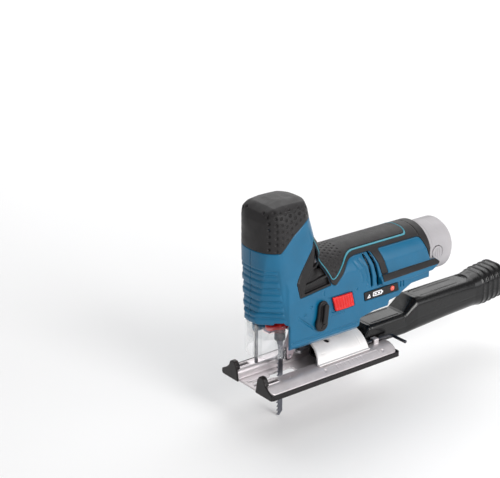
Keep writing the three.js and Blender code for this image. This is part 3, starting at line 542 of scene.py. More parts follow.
VENT_WINDOWS = [
    rounded([(5.4, 89.2), (34.6, 92.2), (32.2, 99.0), (5.2, 96.2)], 0.8),
    rounded([(6.6, 97.9), (31.6, 100.7), (27.2, 111.2), (14.6, 109.6)], 0.8),
    rounded([(15.8, 111.4), (26.5, 112.9), (19.4, 130.0), (18.6, 129.4)], 0.6),
]
PIPING = rounded([
    (19.6, 137.5), (38.0, 93.6), (62.5, 113), (139.5, 113), (139.5, 140),
], [0, 5, 9, 6, 0], 8)
SWITCH = rounded([(37.3, 77.8), (41.5, 63.1), (65, 63.1), (61.1, 77.8)], 1.4)
SWITCH_TRAVEL = 4.0
LABEL = rounded([(77.6, 63.8), (120.4, 63.8), (118.4, 72.4), (76.2, 72.4)], 0.8)
LAMP = (112.0, 68.0)
LEVER_HUB = (24.0, 56.3)
LEVER_TIP = (27.0, 76.3)
SCREWS = [(-20, 122), (9, 151.2), (70, 54.5), (103.5, 71), (34.5, 49.5)]
RING_Z = [
    69.0, 70.4, 71.6, 73.4, 74.6, 75.6, 77.0, 80.6, 81.8, 83.0, 85.6, 86.6, 88.2, 93.0, 94.2, 95.4,
    98.2, 99.2, 100.8, 105.4, 106.6, 107.8, 110.8, 111.8, 113.2, 115.4, 116.4, 117.4,
]
RING_DEPTH = [
    0.0, 1.1, 0.0, -0.3, 0.4, 1.9, 0.2, 0.0, 1.4, 0.8, 0.9, 1.9, 0.2, 0.0, 1.4, 0.8,
    0.9, 1.8, 0.2, 0.0, 1.3, 0.7, 0.7, 1.6, 0.2, 0.1, 1.0, 0.0,
]


FACET = (math.sin(math.radians(46)), math.cos(math.radians(46)))
FACET_DEPTH = 0.75


def by_height(z, heights, values):
    return np.interp(z, heights, values).astype(np.float32)


def crease(z):
    """Where the rounded front meets the flat sides."""
    return by_height(z, [62, 132], [-13.2, -25.0])


def flanks(g):
    """The flat sides, let out a little where the grip rings are."""
    belt = by_height(g.z, [63, 76, 118, 132], [2.4, 2.2, 0.6, 0])
    return np.abs(g.x) - HEAD_HALF - belt * by_height(g.y - crease(g.z), [-0.9, 0], [1, 0])


def head(g):
    """The upright grip: an arched front between flat sides, domed at the top."""
    reach = by_height(g.z, [60, 100, 132], [32.0, 33.8, 35.0])
    front = by_height(g.z, [63, 66.5, 72, 78, 133, 150], [-35.2, -36.4, -36.7, -35.6, -35.0, -34.8])
    nose = np.sqrt(g.x ** 2 + (g.y - front - reach) ** 2) - reach
    centre = by_height(g.z, [118, 129.5, 135, 143.5, 154.5, 165, 172.5], [12, 5.5, 1.5, -1, -4.5, -7, -10.5])
    back = np.hypot(g.x, np.maximum(g.y - centre, 0)) - BACK_RADIUS
    facet = np.abs(g.x) * FACET[0] - g.y * FACET[1] - reach + FACET_DEPTH - front - 35
    nose = soft_both(nose, facet, 0.5)
    column = soft_both(nose, flanks(g), 3.0)
    column = soft_both(column, outline(g.y, g.z, HEAD_SIDE), 5)
    column = soft_both(column, outline(g.x, g.z, HEAD_FRONT), 7)
    over = by_height(g.z, [116, 127], [0, 1])
    return column + over * (soft_both(column, back, 2.0) - column)


def body(g):
    """Barrel above, flat-sided motor and battery housing below."""
    half = BODY_HALF
    barrel = np.hypot(g.x, g.z - BARREL_Z) - BARREL_RADIUS
    lower = [(-half, 94.5), (-half, 41.2), (-24, 36.3), (24, 36.3), (half, 41.2), (half, 94.5)]
    section = join(both(barrel, np.abs(g.x) - half), both(outline(g.x, g.z, lower), g.z - BARREL_Z - 5.6))
    return soft_both(section, outline(g.y, g.z, BODY_SIDE), 1.6)


def base_form(g):
    return soft_both(soft_join(head(g), body(g), 5.0), flanks(g) - 0.15, 0.8)


def wings(g):
    """The two flanges at mid height behind the flutes."""
    side = rounded([
        (93.5, 77.2), (95.5, 84.4), (167.0, 85.0), (171.0, 81.8), (160, 75.6), (142, 75),
        (138, 74.2), (101, 75.2),
    ], 1.2)
    plate = both(outline(g.y, g.z, side), slab(np.abs(g.x), 20, WING_HALF))
    slant = (np.abs(g.x) - WING_HALF) * 0.8 + (g.z - 80.4) * 0.6
    return soft_both(both(plate, -(np.hypot(g.x, g.z - BARREL_Z) - 26.2)), slant, 1.0)


def ribbed(g, form):
    """Grip rings across the arched front, ending at the crease."""
    depth = by_height(g.z, RING_Z, RING_DEPTH)
    ends = by_height(g.y - crease(g.z), [-1.2, -0.2], [1, 0])
    line = 0.55 * np.exp(-((g.y - crease(g.z)) / 0.6) ** 2) * by_height(g.z, [72, 74, 116, 118], [0, 1, 1, 0])
    return form + depth * ends + line


def deepened(form, tool, depth, soft=0.5):
    """Sinks the surface by depth where tool is negative."""
    return soft_cut(form, soft_both(tool, -(form + depth), soft), soft)


def seat(form, region, depth):
    return both(region - FIT, -(form + depth))


def side_details(g, form, near):
    """Engraving, flutes and recesses of one side; near is the side with the switch."""
    flank = np.abs(g.x) - CORE_HALF

    def engraved(form, points, half, depth, soft=0.3):
        return deepened(form, both(stroke(g.y, g.z, points, half), -flank), depth, soft)

    flutes = [
        ([(79, 107), (82.6, 95), (85.2, 86), (86, 77.4)], 1.3, 4.6),
        ([(85.6, 107.8), (89.4, 96), (92.8, 86), (94, 76.8)], 1.5, 4.6),
        ([(72.4, 105), (76.6, 96), (79.4, 88), (80.4, 80.5)], 0.9, 0.8),
        ([(66.2, 104), (70.6, 96), (73.8, 89.5), (75, 84)], 0.9, 0.6),
    ]
    for path, half, depth in flutes:
        form = engraved(form, path, half, depth, 0.5)
    for y in (122.6, 126.2):
        form = engraved(form, [(y, 66.4), (y - 0.6, 72.6)], 0.55, 1.6)
    # a pressed line above the lower edge, from the front corner to the rear step
    form = engraved(form, [(-8, 44.6), (69, 44.6)], 0.8, 1.0)
    form = engraved(form, [(-1, 67.8), (16.2, 53.6)], 0.75, 0.9)
    if near:
        for y, z in ((13.4, 74.7), (6.4, 68.6)):
            form = deepened(form, both(tube(g.y, g.z, (y, z), 1.25), -flank), 1.1, 0.3)
        form = engraved(form, [(27.6, 82.2), (27.8, 86.2)], 0.6, 1.0)
        form = engraved(form, [(66.8, 77.4), (67.6, 79)], 0.6, 1.0)
        form = engraved(form, [(37.5, 60.2), (52, 60.2)], 0.7, 0.9)
        dish = tube(g.y, g.z, LEVER_HUB, 7.4)
        form = deepened(form, both(dish, -flank), 0.25, 0.3)
    return form


def battery_mouth(g):
    return both(tube(g.x, g.z, (0, BARREL_Z), MOUTH_RADIUS), MOUTH_START - g.y)


def inlet(form, g, shape, depth_x):
    """Cuts that side shape through the near wall, from depth_x outward."""
    return cut(form, both(shape, depth_x - g.x))


def housing_half(sign):
    near = sign > 0
    low_x, high_x = span(sign, SEAM_HALF, 33.0)
    g = Grid((low_x, -37, 36), (high_x, 168, 178), 0.72)
    form = base_form(g)
    shell = soft_join(ribbed(g, form), wings(g), 1.5)
    shell = side_details(g, shell, near)
    shell = cut(shell, seat(form, outline(g.y, g.z, CAP_REGION), SKIN))
    shell = cut(shell, seat(form, outline(g.y, g.z, GRIP_REGION), SKIN))
    hollow = form + by_height(g.y, [-5, 5], [3.6, 3.0])
    bosses = join(*[tube(g.y, g.z, screw, BOSS_RADIUS) for screw in SCREWS])
    hollow = both(hollow, -bosses)
    shell = cut(shell, hollow)
    # opening over the bevel bracket, open front below the ribs, room for the counterweight
    underside = both(slab(g.x, -15.5, 15.5), slab(g.y, -13, 69), slab(g.z, 30, 45))
    front = both(slab(g.x, -25, 25), slab(g.y, -22, 0), slab(g.z, 30, 66))
    below = both(slab(g.y, -60, -10.5), slab(g.z, 20, 63))
    swing = both(slab(g.x, -14.3, 14.3), slab(g.y, 18.8, 24.0), slab(g.z, 92, 140))
    shell = cut(shell, battery_mouth(g), underside, front, below, swing)
    shell = cut(shell, both(outline(g.y, g.z, VENT_REGION) - FIT, CORE_HALF - np.abs(g.x)))
    if near:
        room = outline(g.y, g.z, SWITCH)
        room = join(room, outline(g.y + SWITCH_TRAVEL, g.z, SWITCH)) - 0.55
        shell = inlet(shell, g, room, 26.6)
        shell = inlet(shell, g, outline(g.y, g.z, SWITCH) + 2.5, 20)
        shell = inlet(shell, g, tube(g.y, g.z, LEVER_HUB, 4.5), 20)
        shell = inlet(shell, g, outline(g.y, g.z, LABEL) - 0.35, 26.8)
        shell = inlet(shell, g, tube(g.y, g.z, LAMP, 2.7), 15)
    else:
        for screw in SCREWS:
            shell = cut(shell, both(tube(g.y, g.z, screw, SCREW_HEAD_RADIUS), g.x + 16.9))
    for screw in SCREWS:
        shell = cut(shell, both(tube(g.y, g.z, screw, SCREW_RADIUS), g.x - 12.3))
    shell = both(shell, SEAM_HALF - sign * g.x)
    node = left_right("housing", sign)
    return moulded(left_right("shell", sign), shell, g, "machine", [node], shell_blue)


LONGEST_RAY = 60.0


class Points:
    """Loose points that the forms can be read at."""

    def __init__(self, x, y, z):
        self.x, self.y, self.z = (np.asarray(v, np.float32) for v in (x, y, z))


def on_surface(form, start, toward):
    """Where rays from start leave the form, found by halving."""
    start = np.asarray(start, float)
    toward = np.asarray(toward, float)
    low, high = np.zeros(len(start)), np.full(len(start), LONGEST_RAY)
    for _ in range(16):
        middle = (low + high) / 2
        at = start + toward * middle[:, None]
        inside = form(Points(*at.T)) < 0
        low = np.where(inside, middle, low)
        high = np.where(inside, high, middle)
    return start + toward * ((low + high) / 2)[:, None]


def dent(field, g, centres, radius):
    """Cuts small round hollows, each in its own block of the grid."""
    field = np.array(np.broadcast_to(field, g.shape), np.float32)
    for centre in centres:
        low = np.maximum(((np.array(centre) - radius - g.low) / g.step - 1).astype(int), 0)
        high = ((np.array(centre) + radius - g.low) / g.step + 3).astype(int)
        part = tuple(slice(a, b) for a, b in zip(low, high))
        x, y, z = g.x[part[0]], g.y[:, part[1]], g.z[:, :, part[2]]
        away = np.sqrt((x - centre[0]) ** 2 + (y - centre[1]) ** 2 + (z - centre[2]) ** 2)
        field[part] = np.maximum(field[part], radius - away)
    return field


def dimple_rows(axis_z, y_range, pitch, along, sweep):
    """Staggered points over the form: rows across it, an even arc length apart."""
    found = []
    for row, y in enumerate(np.arange(y_range[0], y_range[1], pitch)):
        angles = np.radians(np.linspace(-sweep, sweep, 361))
        toward = np.stack([np.sin(angles), 0 * angles, np.cos(angles)], 1)
        start = np.tile([0, y, axis_z], (len(angles), 1))
        line = on_surface(base_form, start, toward)
        length = np.concatenate([[0], np.cumsum(np.linalg.norm(np.diff(line, axis=0), axis=1))])
        middle = length[180]
        for k in range(-30, 30):
            at = middle + (k + 0.5 * (row % 2)) * along
            if length[0] < at < length[-1]:
                found.append([np.interp(at, length, line[:, i]) for i in range(3)])
    return np.array(found)


def inside_by(points, region, margin):
    away = outline(points[:, 1], points[:, 2], region)
    return points[away < -margin]


def head_cap():
    g = Grid((-29, -36, 131), (29, 38, 178), 0.5)
    form = base_form(g)
    cap = both(form, outline(g.y, g.z, CAP_REGION) + FIT, -(form + SKIN - 0.05))
    spots = inside_by(dimple_rows(137, (-29, 34), 5.0, 5.8, 112), CAP_REGION, 2.3)
    high = (spots[:, 2] < 171.5) & (np.abs(spots[:, 0]) > 9)
    spots = spots[high]
    outward = spots - [0, 0, 140]
    outward[:, 1] *= 0.2
    outward /= np.linalg.norm(outward, axis=1)[:, None]
    cap = dent(cap, g, spots + outward * 0.75, 1.85)
    return moulded("head_cap", cap, g, "machine", ["head_grip"], grip_rubber)


def handle_grip():
    g = Grid((-30, 20, 83), (30, 161, 142), 0.62)
    form = base_form(g)
    grip = both(form, outline(g.y, g.z, GRIP_REGION) + FIT, -(form + SKIN - 0.05))
    groove = stroke(g.y, g.z, PIPING, 0.6)
    grip = cut(grip, both(groove, -(form + 1.0)))
    grip = cut(grip, both(outline(g.y, g.z, VENT_REGION) - FIT, CORE_HALF - np.abs(g.x)))
    grip = cut(grip, wings(g) - 0.1)
    grip = cut(grip, battery_mouth(g))
    # a shallow line across the collar
    grip = deepened(grip, both(slab(g.y, 150.2, 151.0), 60 - g.z), 0.5, 0.3)
    tongue = PIPING + [(25, 150)]
    spots = inside_by(dimple_rows(98, (26, 62), 4.3, 4.7, 100), tongue, 2.0)
    spots = spots[(spots[:, 2] < 121) & (spots[:, 1] < 58)]
    outward = spots - [0, 0, 98]
    outward[:, 1] = 0
    outward /= np.linalg.norm(outward, axis=1)[:, None]
    grip = dent(grip, g, spots + outward * 0.5, 1.35)
    return moulded("handle_grip", grip, g, "machine", ["body_grip"], grip_rubber)


def piping():
    g = Grid((-30, 18, 90), (30, 142, 140), 0.4)
    form = base_form(g)
    line = both(stroke(g.y, g.z, PIPING, 0.45), form - 0.22, -(form + 0.95))
    line = cut(line, both(outline(g.y, g.z, CAP_REGION) - 0.3, -1.0))
    # the raised line is coloured lighter than the shell: painted highlight standing in for the blue lip
    # catching the light
    highlight_blue = moulded_plastic("piping_painted_highlight", (60, 142, 160), 0.38)
    return moulded("grip_piping", line, g, "machine", [], highlight_blue)


# ---- pieces set into the housing ----
def vent_grille(sign):
    low_x, high_x = span(sign, 20.0, 28.6)
    g = Grid((low_x, -5, 85), (high_x, 38, 136), 0.4)
    form = base_form(g)
    region = outline(g.y, g.z, VENT_REGION) + FIT
    plate = both(region, form + 0.35, -(form + 4.9))
    # raised rim along the front edge, then three deep windows between slim ribs
    windows = join(*[outline(g.y, g.z, window) for window in VENT_WINDOWS])
    plate = soft_cut(plate, both(windows, -(form + 3.2)), 0.3)
    plate = deepened(plate, both(region + 1.1, -(region + 1.7), -windows - 0.5), 0.3, 0.2)
    node = left_right("vent_grille", sign)
    return moulded(left_right("vent", sign), plate, g, "machine", [node], black_plastic)


def wing_strip(sign):
    low_x, high_x = span(sign, 28, 33.2)
    g = Grid((low_x, 95, 79), (high_x, 171, 87), 0.35)
    side = rounded([(96.6, 79.6), (97.4, 85.6), (165.4, 86.0), (169.4, 82.2), (167, 80.6)], 0.8)
    over = both(outline(g.y, g.z, side), wings(g) - 0.75, 28.6 - np.abs(g.x))
    strip = cut(over, wings(g) - 0.05)
    node = left_right("side_strip", sign)
    return moulded(left_right("wing_strip", sign), strip, g, "machine", [node], grip_rubber)


def switch_slider():
    g = Grid((20, 35, 61), (30, 67, 80), 0.3)
    side = outline(g.y, g.z, SWITCH)
    crown = 29.7 - 0.004 * (g.y - 51) ** 2 - 0.006 * (g.z - 70.5) ** 2
    cap = soft_both(side + 0.3, both(g.x - crown, 26.9 - g.x), 1.0)
    slant = g.y + (g.z - 70) * 0.27
    ridge = 0.5 - 0.5 * np.cos((slant - 41.0) * 2 * math.pi / 3.1)
    window = by_height(side, [-2.6, -1.6], [1, 0])
    cap = cap + 0.55 * ridge * window * by_height(g.x, [27.5, 28.4], [0, 1])
    stem = brick(g, 20.9, 27.5, 49, 55, 68, 73, 0.4)
    cap = soft_join(cap, stem, 0.4)
    return moulded("switch_cap", cap, g, "switch_slider", ["switch_slider"], red_plastic)


def status_window():
    g = Grid((26, 75, 62), (29, 122, 74), 0.3)
    side = outline(g.y, g.z, LABEL)
    plate = soft_both(side + 0.1, both(g.x - 28.35, 27.2 - g.x), 0.5)
    plate = deepened_flat(plate, both(side + 1.0, -1.0), g, 28.35, 0.15)
    hole = tube(g.y, g.z, LAMP, 2.75)
    plate = cut(plate, hole)
    return moulded("status_panel", plate, g, "machine", ["status_window"], black_plastic)


def deepened_flat(form, tool, g, level, depth):
    """Sinks a flat face at x = level by depth where tool is negative."""
    return cut(form, both(tool, level - depth - g.x))


def status_icons():
    """A triangle and a battery outline with two charge bars, as thin printed plates."""
    g = Grid((27.6, 78, 64), (28.8, 104, 72), 0.16)
    mark = outline(g.y, g.z, rounded([(80.2, 65.8), (84.4, 65.8), (82.9, 69.8)], 0.5))
    mark = cut(mark, outline(g.y, g.z, [(81.7, 66.6), (83.3, 66.6), (82.8, 68.1)]))
    case = brick_2d(g.y, g.z, 87.2, 98.6, 66.0, 70.4, 0.9)
    case = cut(case, brick_2d(g.y, g.z, 88.2, 97.6, 66.9, 69.5, 0.5))
    pole = brick_2d(g.y, g.z, 98.4, 99.8, 67.3, 69.1, 0.2)
    bars = join(*[brick_2d(g.y, g.z, y, y + 2.8, 67.5, 68.9, 0.2) for y in (89.1, 93.4)])
    icons = both(join(mark, case, pole, bars), slab(g.x, 28.05, 28.42))
    return moulded("status_icons", icons, g, "machine", [], icon_white, 8)


def brick_2d(u, v, u0, u1, v0, v1, radius):
    qu, qv = slab(u, u0 + radius, u1 - radius), slab(v, v0 + radius, v1 - radius)
    return np.hypot(np.maximum(qu, 0), np.maximum(qv, 0)) + np.minimum(np.maximum(qu, qv), 0) - radius


def lamp_lens():
    g = Grid((19, 108, 64), (30, 116, 72), 0.25)
    away = np.hypot(g.y - LAMP[0], g.z - LAMP[1])
    barrel = both(away - 2.45, slab(g.x, 19.8, 28.2))
    dome = both(np.sqrt(away ** 2 + (g.x - 26.4) ** 2) - 2.9, 27 - g.x, away - 2.45)
    return moulded("lamp_lens", join(barrel, dome), g, "machine", ["status_lamp"], lamp_red)


def orbital_lever():
    g = Grid((3, 16, 48), (36.2, 35, 83), 0.4)
    hub_y, hub_z = LEVER_HUB
    tip_y, tip_z = LEVER_TIP
    arm = stroke(g.y, g.z, [(hub_y - 0.4, hub_z + 2), (tip_y - 1.6, tip_z - 3)], 5.4)
    hub = np.hypot(g.y - hub_y, g.z - hub_z) - 6.9
    plan = soft_join(arm, hub, 2.5)
    slope = 31.6 - 0.02 * (g.z - hub_z)
    plate = soft_both(plan, both(g.x - slope, 28.75 - g.x), 1.4)
    grip = stroke(g.y, g.z, [(hub_y + 2.0, hub_z + 2.4), (tip_y + 0.4, tip_z - 3.4)], 2.9)
    grip = soft_both(grip, both(g.x - 33.6, 29 - g.x), 1.1)
    plate = soft_join(plate, grip, 0.9)
    dish = both(stroke(g.y, g.z, [(hub_y - 1.6, hub_z + 4.5), (tip_y - 3.4, tip_z - 3)], 1.2), 30.6 - g.x)
    plate = soft_cut(plate, dish, 0.8)
    notch = both(stroke(g.y, g.z, [(hub_y - 1.5, hub_z - 4), (hub_y + 0.6, hub_z + 1)], 0.45), 30.8 - g.x)
    plate = soft_cut(plate, notch, 0.4)
    shaft = both(tube(g.y, g.z, LEVER_HUB, 3.95), slab(g.x, 4.6, 30))
    flat = both(slab(g.x, 0, 9.5), slab(g.y, hub_y - 6, hub_y - 1.5))
    lever = cut(join(plate, shaft), flat)
    return moulded("lever_orbital", lever, g, "orbital_lever", ["orbital_lever"], black_plastic)


def release_lever():
    g = Grid((-9, -19, 49), (9, 10, 57), 0.32)
    away = np.hypot(g.x, g.y)
    collar = soft_both(away - 8.0, slab(g.z, 49.6, 55.9), 1.0)
    tab = outline(g.x, g.y, rounded([(-3, -5), (6.2, -5), (5.2, -14.5), (1.4, -16.4), (-3.4, -14.8)], 2))
    tab = soft_both(tab, slab(g.z, 50.4, 55.4), 1.2)
    red = soft_join(collar, tab, 1.2)
    turn = np.arctan2(g.y, g.x)
    red = red + 0.3 * (0.5 - 0.5 * np.cos(turn * 18)) * by_height(away - 8, [-0.8, -0.2], [0, 1]) \
        * by_height(g.y, [-4, -2], [0, 1])
    pads = np.abs(np.mod(g.y, 2.2) - 1.1) - 0.35
    red = soft_cut(red, both(pads, slab(g.y, -15, -9), 54.9 - g.z), 0.3)
    red = cut(red, away - 5.5)
    return moulded("release_collar", red, g, "release_lever", ["release_lever"], red_plastic)


# ---- drive parts that show ----
def saw_blade():
    g = Grid((-1.1, -4, -40.5), (1.1, 4.2, 53), 0.24)
    pitch = 4.0
    front = -3.0
    side = [(3.5, 52), (3.5, -36.5), (0.0, -40.0), (-1.4, -40.0)]
    z = -39.0
    while z < 24:
        side += [(front, z), (front, z + 0.5), (front + 1.25, z + 1.1), (front + 1.7, z + pitch - 0.9)]
        z += pitch
    side += [(front + 1, 31), (front, 36), (front, 52)]
    lean = 0.22 * np.sign(np.sin((g.z + 39.2) * math.pi / pitch))
    lean = lean * by_height(g.y, [-3, -1.6], [1, 0]) * (g.z < 26)
    thick = by_height(g.y, [-3, -1, 3.5], [0.62, 0.62, 0.42])
    blade = both(outline(g.y, g.z, side), np.abs(g.x - lean) - thick)
    line = both(stroke(g.y, g.z, [(1.6, -30), (1.6, 20)], 0.16), 0.33 - np.abs(g.x))
    blade = cut(blade, line)
    return moulded("blade_body", blade, g, "plunger", ["saw_blade"], blade_steel)


def blade_clamp():
    g = Grid((-6, -6, 36), (6, 6, 56), 0.28)
    away = np.hypot(g.x, g.y)
    turn = np.arctan2(g.y, g.x)
    barrel = soft_both(away - 5.15, slab(g.z, 37.05, 54.95), 0.8)
    knurl = 0.3 * np.abs(np.sin(turn * 9)) * by_height(g.z, [38.5, 39, 43, 43.5], [0, 1, 1, 0])
    ring = 0.45 * by_height(np.abs(g.z - 45), [0.3, 0.7], [1, 0])
    ring = ring + 0.45 * by_height(np.abs(g.z - 53.2), [0.3, 0.7], [1, 0])
    barrel = barrel + knurl + ring
    slot = both(slab(g.x, -0.95, 0.95), slab(g.y, -3.6, 3.8), g.z - 52.6)
    screw = np.hypot(g.y, g.z - 41) - 1.5
    barrel = cut(barrel, slot, both(screw, 4.2 - g.x))
    barrel = cut(barrel, both(away - 3.6, 53.4 - g.z))
    return moulded("clamp_barrel", barrel, g, "plunger", ["blade_clamp"], dark_steel)


ROLLER = (9.3, 19.0)
FORK_PIVOT = (16.0, 45.0)


def pendulum_fork():
    g = Grid((-3.6, 3, 14), (3.6, 22, 55), 0.3)
    ry, rz = ROLLER
    py, pz = FORK_PIVOT
    side = rounded([
        (ry - 3, rz - 3.6), (ry + 3.2, rz - 3.6), (py + 3, pz - 12), (py + 4, pz + 6), (py - 2, pz + 8),
        (py - 4, pz - 6), (ry - 3.2, rz + 8),
    ], [2.6, 2.6, 3, 3, 3, 3, 1.5])
    fork = soft_both(outline(g.y, g.z, side), np.abs(g.x) - 3.4, 0.8)
    gate = both(slab(g.x, -1.95, 1.95), outline(g.y, g.z, [(-10, -10), (15.6, -10), (15.6, 25.4), (-10, 31)]))
    fork = cut(fork, gate, np.hypot(g.y - ry, g.z - rz) - 1.42, np.hypot(g.y - py, g.z - pz) - 2.15)
    rib = both(stroke(g.y, g.z, [(ry + 2, rz + 11), (py, pz - 10)], 1.2), 2.9 - np.abs(g.x))
    fork = soft_cut(fork, rib, 0.5)
    return moulded("fork_body", fork, g, "pendulum_fork", ["pendulum_fork"], fork_steel)


def guide_roller():
    g = Grid((-2, 3, 13), (2, 15.5, 25), 0.26)
    away = np.hypot(g.y - ROLLER[0], g.z - ROLLER[1])
    wheel = soft_both(away - 5.48, np.abs(g.x) - 1.6, 0.5)
    groove = both(np.abs(g.x) - 0.75, 4.7 - away)
    dish = both(slab(away, 2.4, 3.9), 1.2 - np.abs(g.x))
    wheel = cut(wheel, groove, dish, away - 1.46)
    return moulded("roller_wheel", wheel, g, "guide_roller", ["guide_roller"], dark_steel)


def guard_rod():
    g = Grid((-2.6, -30, 20.8), (2.6, -24, 70.5), 0.28)
    away = np.hypot(g.x, g.y + 27)
    rod = soft_both(away - 1.6, slab(g.z, 21.4, 64), 1.0)
    rod = rod + 0.25 * by_height(np.abs(g.z - 55), [0.5, 1.0], [1, 0])
    foot = brick(g, -2.2, 2.2, -29.6, -24.4, 62, 70, 0.6)
    rod = soft_join(rod, foot, 0.8)
    return moulded("guard_wire", rod, g, "machine", ["guard_rod"], dark_steel)


def chip_guard():
    g = Grid((-25.2, -35, 30), (25.2, -12, 63), 0.5)
    nose = np.hypot(g.x, g.y + 9.4) - 24.4
    nose = both(nose, np.abs(g.x) - 24.4)
    wall = both(nose, -(nose + 1.6), slab(g.z, 30.6, 62.3), g.y + 12.4)
    rim = both(nose, -(nose + 2.3), slab(g.z, 30.6, 32.2), g.y + 12.4)
    guard = soft_join(wall, rim, 0.4)
    return moulded("guard_shield", guard, g, "chip_guard", ["chip_guard"], clear)


# ---- shoe ----
SHOE_FRONT, SHOE_REAR = -37.0, 117.0
SHOE_HALF = 37.5
FLOOR_HALF = 13.7
RAIL_TOP = 11.0
EDGE = 1.8
LIP = 5.2


def plan_corner(g, front, rear, half, radius):
    """Rounded plan of the shoe, negative inside."""
    return brick_2d(g.x, g.y, -half, half, front, rear, radius)


def shoe_plate():
    g = Grid((-36, -37, -0.1), (36, 116, 17), 0.6)
    wide = np.abs(g.x)
    outer = SHOE_HALF - EDGE - 0.3
    top = rounded([
        (-1, 2.0), (FLOOR_HALF, 2.0), (FLOOR_HALF + 0.3, RAIL_TOP - 2.6), (FLOOR_HALF + 3, RAIL_TOP),
        (outer - 9.5, RAIL_TOP), (outer, LIP), (outer, LIP - 2.1), (outer - 10, RAIL_TOP - 2.1),
        (FLOOR_HALF + 3.8, RAIL_TOP - 2.1), (FLOOR_HALF + 2, RAIL_TOP - 3.9), (FLOOR_HALF + 2, 0), (-1, 0),
    ], [0, 1, 2, 2.4, 4, 1, 0.5, 4, 2, 1.5, 0.8, 0])
    plate = both(outline(wide, g.z, top), plan_corner(g, SHOE_FRONT + 0.4, SHOE_REAR - 2.1, outer, 5.0))
    # turned-down rail ends at the front
    drop = np.maximum(-31.5 - g.y, 0)
    plate = both(plate, g.z - RAIL_TOP + 0.085 * drop ** 2)
    # raised strips beside the blade opening
    strips = both(np.abs(wide - 4.2) - 1.5, slab(g.y, -33.5, -6), slab(g.z, 1, 2.9))
    plate = soft_join(plate, soft_both(strips, g.z - 2.9, 0.5), 0.6)
    opening = brick_2d(g.x, g.y, -2.4, 2.4, -30, -7, 1.2)
    opening = join(opening, brick_2d(g.x, g.y, -5.5, 5.5, -9, 18, 1.6))
    plate = cut(plate, both(opening, g.z - 4))
    window = brick_2d(wide, g.y, 19.6, 24.4, -33 + 0.6, -20, 1.0)
    rim = both(window - 1.0, slab(g.z, 9, RAIL_TOP + 0.45))
    plate = soft_join(plate, both(rim, -(window - 0.2)), 0.4)
    plate = cut(plate, both(window, 5 - g.z))
    # embossed frame and bevel marks on the near rail, a dot at the front
    frame_line = stroke(g.x, g.y, [(27.8, 30), (27.8, 95), (31.5, 95)], 0.4)
    plate = soft_join(plate, both(frame_line, slab(g.z, 7, 60), plate - 0.35), 0.2)
    for k in range(7):
        y = 44 + 5.0 * k
        reach = 3.6 if k % 3 == 0 else 2.2
        mark = stroke(g.x, g.y, [(28.6, y), (28.6 + reach, y)], 0.4)
        plate = cut(plate, both(mark, -(plate + 0.45), 6 - g.z))
    plate = cut(plate, both(np.hypot(g.x - 24.8, g.y + 7.1) - 0.8, -(plate + 0.6), 6 - g.z))
    for y in (30.0, 100.0):
        plate = cut(plate, both(np.hypot(wide - 30.5, g.y - y) - 1.3, -(plate + 0.5), 6 - g.z))
    lug = brick(g, FLOOR_HALF + 1, FLOOR_HALF + 7.5, 98, 104, RAIL_TOP - 1, RAIL_TOP + 5.4, 0.8)
    plate = soft_join(plate, lug, 0.6)
    plate = cut(plate, both(tube(g.x, g.z, (KEY_X, KEY_Z), 2.05), slab(g.y, 90, 110)))
    return moulded("shoe_sheet", plate, g, "shoe", ["shoe_plate"], plate_steel)


def overshoe():
    g = Grid((-38, -39, 0), (38, 117.5, 19), 0.6)
    wide = np.abs(g.x)
    inner = FLOOR_HALF + 2.3
    skid = rounded([
        (inner, 0), (SHOE_HALF, 0), (SHOE_HALF, LIP), (SHOE_HALF - EDGE, LIP), (SHOE_HALF - EDGE, 1.6),
        (inner, 1.6),
    ], [0, 1.2, 0.8, 0.5, 0, 0])
    skid = both(outline(wide, g.z, skid), plan_corner(g, SHOE_FRONT - 1.2, SHOE_REAR, SHOE_HALF, 4.0))
    grooves = both(np.abs(np.mod(wide, 4.0) - 2) - 0.6, g.z - 0.5)
    skid = cut(skid, both(grooves, slab(wide, 18, 34)))
    horn = rounded([
        (FLOOR_HALF - 1, 0), (SHOE_HALF, 0), (SHOE_HALF, LIP), (SHOE_HALF - 5.5, 8.2), (26.4, 12.6),
        (25.2, 17.0), (22.6, 18.5), (18.4, 18.3), (16.8, 15.8), (15.6, 14.6), (14.4, 8.0),
    ], [0.8, 3, 1.2, 4, 2.5, 1.5, 1.5, 1.5, 1, 1.2, 2])
    horn = outline(wide, g.z, horn)
    sweep = SHOE_FRONT - 1.2
    plate = soft_both(horn, both(sweep - g.y, g.y - (SHOE_FRONT + 0.25)), 0.7)
    cheek = soft_both(horn, both(sweep - g.y, g.y - (SHOE_FRONT + 3.6)), 0.7)
    cheek = both(cheek, wide - SHOE_HALF, RAIL_TOP + 0.3 - g.z)
    shoe = join(skid, plate, cheek)
    rear = both(slab(wide, inner, SHOE_HALF), slab(g.y, SHOE_REAR - EDGE, SHOE_REAR), slab(g.z, 0, LIP))
    rear = both(rear, plan_corner(g, SHOE_FRONT, SHOE_REAR, SHOE_HALF, 4.0))
    bridge = brick(g, -inner - 1, inner + 1, SHOE_REAR - EDGE, SHOE_REAR, 0, 2.7)
    shoe = join(shoe, rear, bridge)
    return moulded("overshoe_body", shoe, g, "shoe", ["overshoe"], overshoe_plastic)


